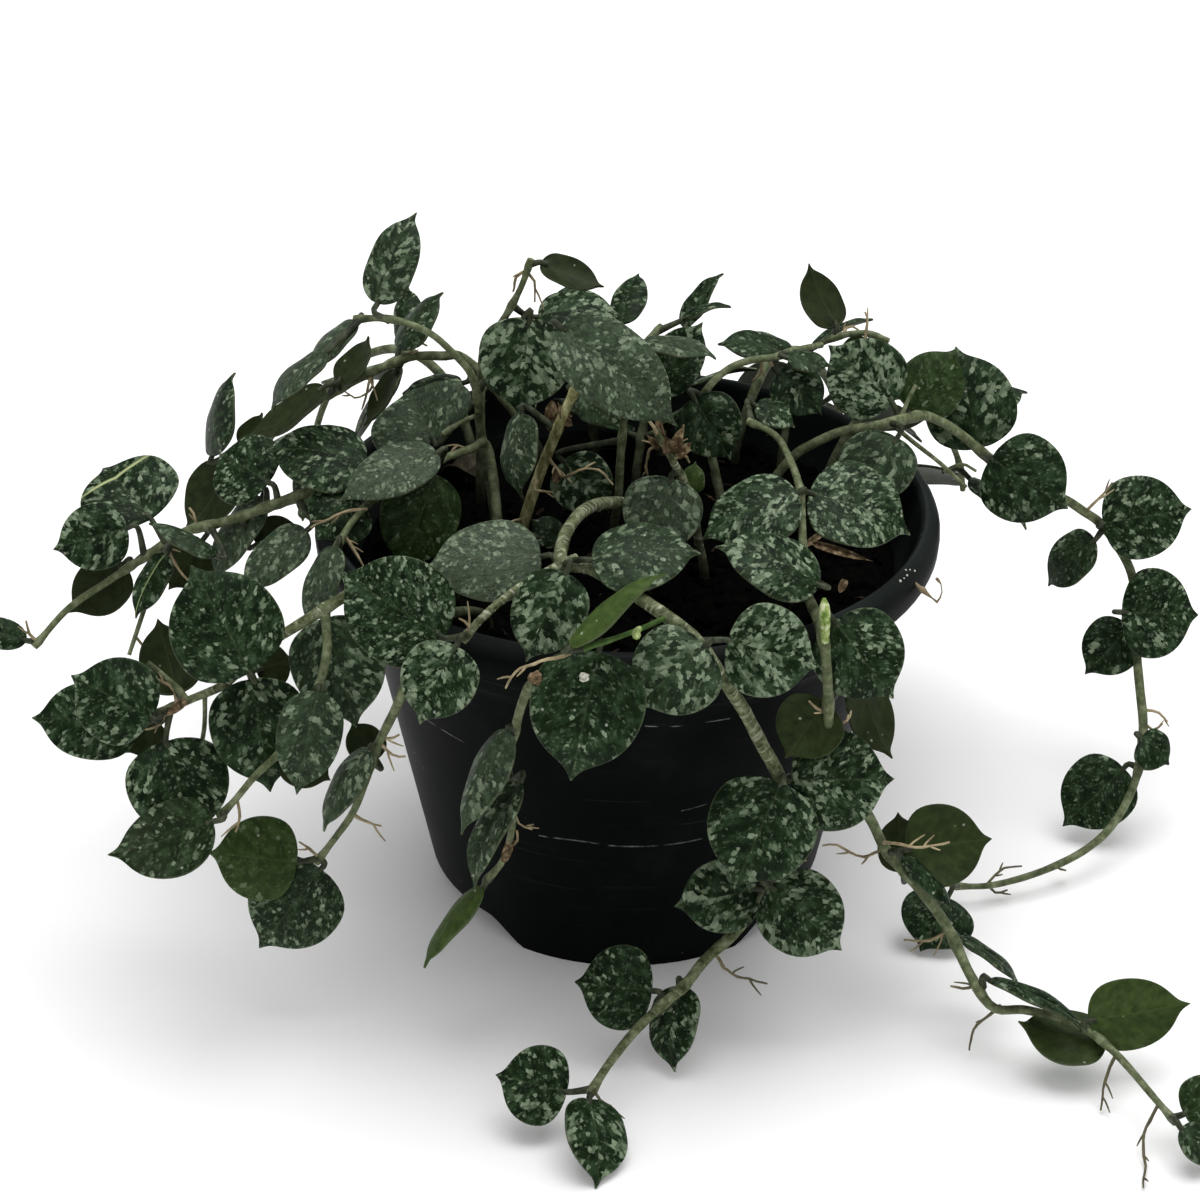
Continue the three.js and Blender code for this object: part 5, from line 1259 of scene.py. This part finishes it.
vine("vine_right_front", [
  stem(STEM, planted(36, -34), (806, 594, 99.5), (812, 606, 99.2),
    (820, 625, 98.3), (825, 650, 94.5), (828, 690, 85), (829, 725, 76.5),
    (838, 765, 63.5), (855, 795, 54), (871, 820, 48), (887, 852, 41),
    (914, 882, 34), (946, 925, 25), (972, 978, 18), (994, 1008, 14.5),
    (1026, 1010, 14), (1080, 1026, 12.5), (1112, 1050, 11),
    (1157, 1101, 8.5), (1176, 1123, 7.5)),
  stem(STEM, (808, 598, 99.5), (806, 575, 104), (803, 545, 108),
    (802, 520, 111), (800, 490, 114), (790, 460, 117), (775, 435, 119),
    (748, 421, 120)),
  stem(1, (826, 652, 94), (825, 624, 101), (824, 598, 106), skin=bud_skin),
], [
  [(828, 712, 79.5), (817, 708, 80.5), (808, 700, 82.5)],
  [(829, 714, 79.5), (838, 724, 76.5), (847, 722, 77.5), (850, 710, 80.5)],
  [(884, 838, 44), (896, 844, 46), (911, 847, 46), (950, 842, 46)],
  [(886, 848, 42), (862, 856, 37), (838, 846, 38), (822, 846, 38)],
  [(948, 932, 24), (930, 940, 22), (903, 940, 23)],
  [(974, 985, 17), (964, 990, 15), (950, 986, 16)],
  [(994, 1010, 14), (976, 1026, 9), (970, 1050, 2)],
  [(1114, 1057, 10), (1105, 1080, 6), (1100, 1111, 1)],
  [(1157, 1108, 8), (1144, 1136, 4), (1145, 1160, 1.5), (1143, 1187, 0.9)],
], [
  leaf((797, 493), (703, 537), wide=0.85, turn=38, sheen=0, silver=0.52, grain=1.15),
  leaf((819, 584), (719, 543), wide=0.75, turn=42, node=(806, 578), sheen=0, silver=0.55, grain=1.1),
  leaf((810, 492), (911, 529), wide=0.95, turn=35, sheen=0, silver=0.52, grain=1.4),
  leaf((834, 621), (893, 698), wide=0.98, node=(825, 640), silver=0.42, behind=3),
  leaf((861, 677), (888, 758), wide=0.75, turn=45, under=True, node=(829, 705), deep=4),
  leaf((826, 703), (786, 757), wide=1.05, under=True, deep=4, fresh=0.15),
  leaf((756, 405), (795, 426), turn=50, deep=6, silver=0.3),
  leaf((905, 850), (990, 839), wide=0.98, under=True, node=(887, 852), shown=1, fresh=0.25),
  leaf((903, 872), (898, 813), wide=0.8, deep=10, under=True),
  leaf((903, 858), (953, 908), wide=0.7, turn=52, node=(890, 856), narrow=0.6, silver=0.05),
  leaf((960, 937), (1021, 983), wide=0.8, turn=70, deep=2, narrow=0.55, silver=0.15),
  leaf((990, 979), (1084, 1026), wide=0.7, turn=68, deep=1, narrow=0.5, silver=0.15),
  leaf((1106, 1041), (1018, 1027), wide=0.8, turn=40, under=True, deep=2, fresh=0.3),
  leaf((1089, 1021), (1187, 1004), wide=0.72, under=True, shown=1, fresh=0.6),
  leaf((1184, 1114), (1236, 1088), wide=1, deep=2, silver=0.25, fresh=0.2),
  leaf((1182, 1128), (1214, 1166), wide=0.9, turn=45, deep=-2, silver=0.3),
])

vine("vine_back_right", [
  stem(STEM, planted(22, 8), (703, 405, 110), (708, 388, 115), (730, 368, 118),
    (752, 360, 119), (775, 357, 119), (800, 349, 118), (822, 345, 117)),
], [
  [(762, 358, 119), (760, 372, 115), (752, 380, 112)],
  [(768, 358, 119), (778, 372, 115), (782, 384, 111)],
], [
  leaf((694, 398), (730, 459), wide=0.95, deep=-2, node=(704, 400), silver=0.08),
  leaf((781, 352), (719, 343), turn=62, deep=5, silver=0.15),
  leaf((792, 350), (738, 336), turn=72, deep=12, silver=0.15),
  leaf((788, 357), (830, 366), turn=58, deep=2, silver=0.25),
  leaf((779, 372), (822, 413), deep=4, turn=15, silver=0.3),
])

vine("vine_right_trailer", [
  stem(STEM, planted(31, 17), (795, 455, 97), (815, 443, 100), (840, 432, 102),
    (880, 425, 103), (905, 419, 103), (927, 416, 101), (955, 430, 97),
    (985, 455, 91), (1010, 475, 86), (1040, 492, 80), (1066, 500, 75),
    (1083, 511, 71), (1101, 524, 66), (1120, 550, 60), (1131, 572, 55),
    (1137, 612, 46), (1137, 655, 38), (1140, 690, 31), (1143, 720, 26),
    (1142, 750, 21), (1132, 790, 15), (1110, 828, 10), (1085, 850, 7.5),
    (1050, 868, 6), (1015, 880, 5), (985, 886, 5), (950, 886, 5.5)),
  stem(SHOOT, (895, 422, 103), (912, 441, 99), (940, 463, 93), (966, 487, 87)),
  stem(SHOOT, (901, 419, 103), (908, 400, 107), (916, 385, 110)),
  stem(0.6, (928, 479, 86), (945, 471, 89), (962, 464, 91), (976, 471, 89)),
], [
  [(1084, 511, 71), (1098, 500, 74), (1112, 482, 79)],
  [(1141, 708, 28), (1158, 712, 27), (1168, 722, 25)],
  [(1143, 722, 26), (1154, 730, 24), (1162, 724, 26)],
  [(1066, 860, 6.5), (1056, 868, 4), (1066, 870, 3)],
  [(990, 885, 5), (1002, 870, 7), (1022, 866, 7)],
  [(990, 886, 5), (997, 893, 2.5), (1008, 890, 3)],
], [
  leaf((893, 403), (830, 346), wide=1, turn=12, node=(899, 420), silver=0.74, sheen=0, grain=1.1),
  leaf((897, 437), (852, 506), wide=1.08, turn=10, node=(892, 423), deep=3, silver=0.5,
    sheen=0.17, grain=0.75),
  leaf((913, 412), (955, 350), wide=0.9, deep=8, silver=0.1, fresh=0.35),
  leaf((980, 448), (956, 348), wide=0.9, node=(982, 453), deep=-2, silver=0.42, sheen=0, grain=0.75),
  leaf((991, 458), (1067, 508), wide=1.0, sheen=0, silver=0.2, grain=0.95),
  leaf((1103, 523), (1191, 509), wide=0.95, sheen=0, silver=0.3),
  leaf((1094, 540), (1045, 584), wide=1.05, tilt=30, turn=38, silver=0.25, narrow=0.75),
  leaf((1122, 612), (1198, 615), wide=1.2, silver=0.3, sheen=0),
  leaf((1130, 626), (1086, 673), wide=0.92, node=(1137, 640), silver=0.05, sheen=0),
  leaf((1141, 738), (1169, 764), wide=1.5, turn=45, silver=0, sheen=0),
  leaf((1124, 768), (1064, 825), wide=0.9, node=(1139, 765), sheen=0, silver=0.08),
  leaf((948, 897), (921, 950), wide=1.25, sheen=0, silver=0.12),
])

vine("vine_top_right", [
  stem(STEM, planted(36, 34), (803, 358, 110), (818, 345, 114.5), (836, 337, 117),
    (865, 333, 118), (889, 341, 117)),
], [
  [(868, 333, 118), (867, 320, 121), (864, 311, 123)],
  [(842, 336, 117), (850, 326, 119), (858, 330, 118)],
], [
  leaf((836, 327), (807, 266), turn=32, under=True, narrow=0.74),
  leaf((871, 342), (842, 372), deep=10, under=True),
])

vine("vine_left_mid", [
  stem(STEM, planted(-28, -15), (486, 444, 105), (471, 449, 107),
    (436, 462, 107), (395, 487, 105.5), (370, 502, 103.5), (352, 522, 101),
    (338, 545, 98.5), (326, 572, 95)),
], [
  [(345, 536, 99.5), (356, 552, 96), (368, 574, 92)],
  [(362, 506, 103), (338, 514, 103), (311, 527, 101)],
  [(472, 449, 107), (455, 446, 109), (448, 456, 107)],
], [
  leaf((437, 452), (340, 500), wide=0.78, turn=35, silver=0.45, narrow=0.72, sheen=0.5, grain=1.4),
  leaf((433, 474), (402, 571), deep=9, wide=0.8, silver=0, fresh=0.25, sheen=0),
  leaf((336, 547), (309, 629), wide=0.85, turn=50, silver=0.35, narrow=0.7, sheen=0.39),
  leaf((366, 463), (267, 449), wide=0.85, turn=38, node=(380, 495), deep=4, silver=0.3, sheen=0),
  leaf((355, 497), (318, 538), wide=1.25, deep=5, silver=0.3),
])

# Stems at the back, which the front view hides: name, seed of its draws, how many rings
# are cut off its end, its foot, and its points in mm.
HIDDEN = [
    ("vine_back_left", 7, 0, (-36, 36),
     ((-44, 50, 102), (-56, 64, 103), (-70, 76, 92), (-79, 84, 72), (-82, 88, 50))),
    ("vine_back_mid_left", 11, 0, (-8, 48),
     ((-14, 62, 103), (-20, 76, 101), (-27, 90, 84), (-31, 97, 62), (-33, 99, 40))),
    ("vine_back_mid", 19, 0, (8, 46),
     ((10, 60, 103), (12, 76, 101), (16, 92, 85), (18, 100, 62), (16, 104, 36))),
    ("vine_back_mid_right", 23, 0, (26, 44),
     ((34, 58, 103), (42, 70, 100), (52, 84, 82), (56, 90, 58), (58, 94, 34))),
    ("vine_back_right_side", 29, 9, (46, 26),
     ((57, 38, 101), (68, 46, 99), (80, 54, 80), (84, 58, 56))),
    ("vine_crown_back", 31, 0, (2, 28),
     ((4, 34, 104), (2, 40, 114), (-8, 48, 118), (-20, 54, 114))),
]
LEAF_PAIR_SPACING = 27
FIRST_PAIR = 26             # how far from the stem's foot
LEAF_SHORTEST = 18
LEAF_VARIES = 6
DRAW_START = 7919           # the draws are those of the solid model
DRAW_FACTOR = 16807
DRAW_RANGE = 2147483647


def drawing(seed):
    """A function that draws shares from 0 to 1, the same ones for the same seed."""
    state = seed * DRAW_START

    def draw():
        nonlocal state
        state = state * DRAW_FACTOR % DRAW_RANGE
        return state / DRAW_RANGE
    return draw


for name, seed, cut, foot, points in HIDDEN:
    draw = drawing(seed)
    way = planted(*foot) + [Vector(point) for point in points]
    place = smooth_path(way)
    marks = [place(k / 200) for k in range(201)]
    reach = sum((b - a).length for a, b in zip(marks, marks[1:]))
    pairs = []
    along = FIRST_PAIR
    while along < reach:
        round_ = draw() * 0.8 - 0.4 + (0 if len(pairs) % 4 == 0 else 0.9)
        for half in (0, math.pi):
            pairs.append({"share": along / reach, "round": round_ + half,
                          "lift": 0.15 - 0.5 * draw(), "length": LEAF_SHORTEST + LEAF_VARIES * draw()})
        along += LEAF_PAIR_SPACING
    vine(name, [(STEM, way, young_skin)], [], [], pairs, cut)

# ------------------------------------------------------------------ dry bits on the plant
# Papery brown bracts and torn leaf bases stay on the oldest nodes, a husk and a crumb lie
# on the big dark leaf in front, and a dry root tip hangs under the rim, with grit on it.
# They dry in place and hold by themselves.

# Dry bract: thin, matt and tan to orange-brown, in cloudy shades.
dry_bract = cloudy("papery dried bract", 0.85, 0.15, 0.0015,
                   [(0.32, "#2f271b"), (0.48, "#5c4c36"), (0.64, "#98866a"), (0.75, "#c2b496")],
                   detail=5, rough=0.7)
# Grit: a crumb of pale perlite, matt and chalky, greyer in patches.
pale_grit = cloudy("perlite crumb", 0.95, 0.1, 0.0004, [(0.35, "#8f917f"), (0.6, "#dfe0d2")])
# Each bract: the picture points and heights of its foot and its tip, its width and its curl.
BRACTS = [
    ((568, 420, 119), (559, 405, 124), 2.6, 0.8), ((552, 402, 122), (550, 431, 114), 3, -0.9),
    ((562, 418, 120), (573, 426, 118), 1.8, 0.9), ((557, 470, 108), (556, 484, 104), 1.8, -0.8),
    ((662, 446, 118), (657, 416, 125), 2.2, 0.6), ((671, 454, 117), (666, 436, 122), 3.2, -0.8),
    ((673, 452, 117), (682, 428, 123), 2.6, 0.7), ((676, 457, 116), (692, 442, 120), 2.4, -0.6),
    ((660, 448, 117), (648, 436, 121), 2, 0.8), ((186, 700, 76), (166, 716, 74), 2, 0.8),
    ((512, 838, 49), (502, 866, 42), 2, 0.7),
    ((812, 543, 87), (871, 561, 86), 1.9, 0.3), ((805, 546, 86), (825, 531, 88), 1.6, -0.3),
    ((840, 592, 86), (846, 578, 87), 1.8, 0.5),
]
DRY = {**PLAIN_LEAF, "silver": 0, "sheen": 0, "grain": 1}
bits = []
for number, (foot, tip, wide, curl) in enumerate(BRACTS):
    foot, tip = seen(*foot), seen(*tip)
    axis = (tip - foot).normalized()
    to_eye = (EYE / MM - foot).normalized()
    facing = (to_eye - axis * to_eye.dot(axis)).normalized()
    pose = {**DRY, "base": foot, "axis": axis, "facing": facing, "right": axis.cross(facing),
            "length": (tip - foot).length, "width": wide, "arch": 0.1, "thick": 0.25,
            "fold": 0.35, "curl": curl, "chance": number / len(BRACTS)}
    bits.append(leaf_from(pose, "bract_%d" % number, dry_bract))

# The crumb and the husk on the leaf: how far along and across it, and their size in mm.
big_leaf = placed["vine_front", (599, 652)]
ON_LEAF = [(0.21, 0.16, (2.1, 1.8, 0.8), pale_grit), (0.3, 0.96, (2.9, 2.7, 0.5), dry_bract)]
turned = Matrix((big_leaf["right"], big_leaf["axis"], big_leaf["facing"])).transposed()
for number, (share, across, size, skin) in enumerate(ON_LEAF):
    spot = blade_point(big_leaf, share, across, 0.75)
    bpy.ops.mesh.primitive_ico_sphere_add(subdivisions=2, radius=0.5 * MM, location=(0, 0, 0))
    flake = bpy.context.object
    flake.name = "flake_%d" % number
    for point in flake.data.vertices:
        rough = 0.5 + 0.25 * noise.noise(point.co * 2600 + Vector((number, 0, 0)))
        bumped = point.co.normalized() * rough
        point.co = (spot + turned @ Vector([a * b for a, b in zip(bumped, size)])) * MM
    flake.data.materials.append(skin)
    bits.append(flake)

# The root tip clings under the rim at the right: its picture points and radii in mm.
RIM_DEPTH = 606             # from the eye
ROOT_TIP = [
    (915, 583, 0.3), (919, 587, 0.4), (923, 590, 0.75), (926, 593, 0.5), (932, 598, 0.16),
    (937, 602, 0.4), (940, 598, 0.2), (942, 592, 0.14), (941, 584, 0.14), (938, 580, 0.4),
    (936, 578, 0.3),
]
way = [EYE / MM + sight(across, down) * RIM_DEPTH for across, down, _ in ROOT_TIP]
bits.append(rods("root_tip", [(way, [radius for _, _, radius in ROOT_TIP], root_cork)], 1))

# Pale grit lies on the rim: picture point, height and size.
RIM_GRIT = [
    (900.2, 581, 95.4, 0.7), (904, 578.3, 95.3, 0.4), (906.8, 575.4, 95.3, 0.6),
    (905.8, 570, 95.8, 0.5), (909.8, 569.8, 95.5, 0.4), (914.6, 570.9, 94.9, 0.55),
]
for number, (across, down, height, size) in enumerate(RIM_GRIT):
    bpy.ops.mesh.primitive_ico_sphere_add(
        subdivisions=1, radius=0.5 * size * MM, location=seen(across, down, height) * MM)
    bpy.ops.object.transform_apply(location=True, rotation=True, scale=True)
    grit = bpy.context.object
    grit.name = "rim_grit_%d" % number
    grit.data.materials.append(pale_grit)
    bits.append(grit)
dry_bits = joined(bits, "dry_bracts_and_husks")
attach(dry_bits, "root")

# -------------------------------------------------------------------- the dropped leaf
# One old leaf that has dropped on the mix and dried: thin, brown and curled like paper.

dried_base = seen(444, 474, 85.3)
dried_tip = seen(489, 488, 85.3)
dried_axis = (dried_tip - dried_base).normalized()
dried_pose = {
    **DRY, "base": dried_base, "axis": dried_axis, "facing": Vector((0, 0, 1)),
    "right": dried_axis.cross(Vector((0, 0, 1))), "length": (dried_tip - dried_base).length,
    "width": (dried_tip - dried_base).length * 0.75, "arch": 0.24, "chance": 0.4,
    "thick": 0.7, "narrow": 0.8, "fold": 0.5, "curl": -1.5,
}
# Dry leaf: brown and matt like old paper, darker in blotches.
dry_leaf = start_material("dried hoya leaf", 0.8, 0.3)
blades = add(dry_leaf, "UVMap", {"uv_map": "blade"}).outputs["UV"]
stain = add(dry_leaf, "TexNoise", {"Scale": 0.5, "Detail": 5, "Roughness": 0.65}, {"Vector": blades})
browned = add(dry_leaf, "ValToRGB", {"stops": [(0.3, "#1a180f"), (0.5, "#353022"), (0.72, "#5a5340")]},
              {"Fac": stain})
relief = add(dry_leaf, "Bump", {"Strength": 0.5, "Distance": 0.0004}, {"Height": stain})
dress(dry_leaf, browned, relief)
dropped = leaf_from(dried_pose, "dropped_dry_leaf", dry_leaf)
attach(dropped, "root")
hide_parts("dried_leaf")
bpy.data.objects.remove(blade)

# ------------------------------------------------------------------- sizes and finish
# The solid model's box and the finished model's box, kept side by side.

boxes = [[list(corner) for corner in box] for box in (cad_box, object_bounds())]
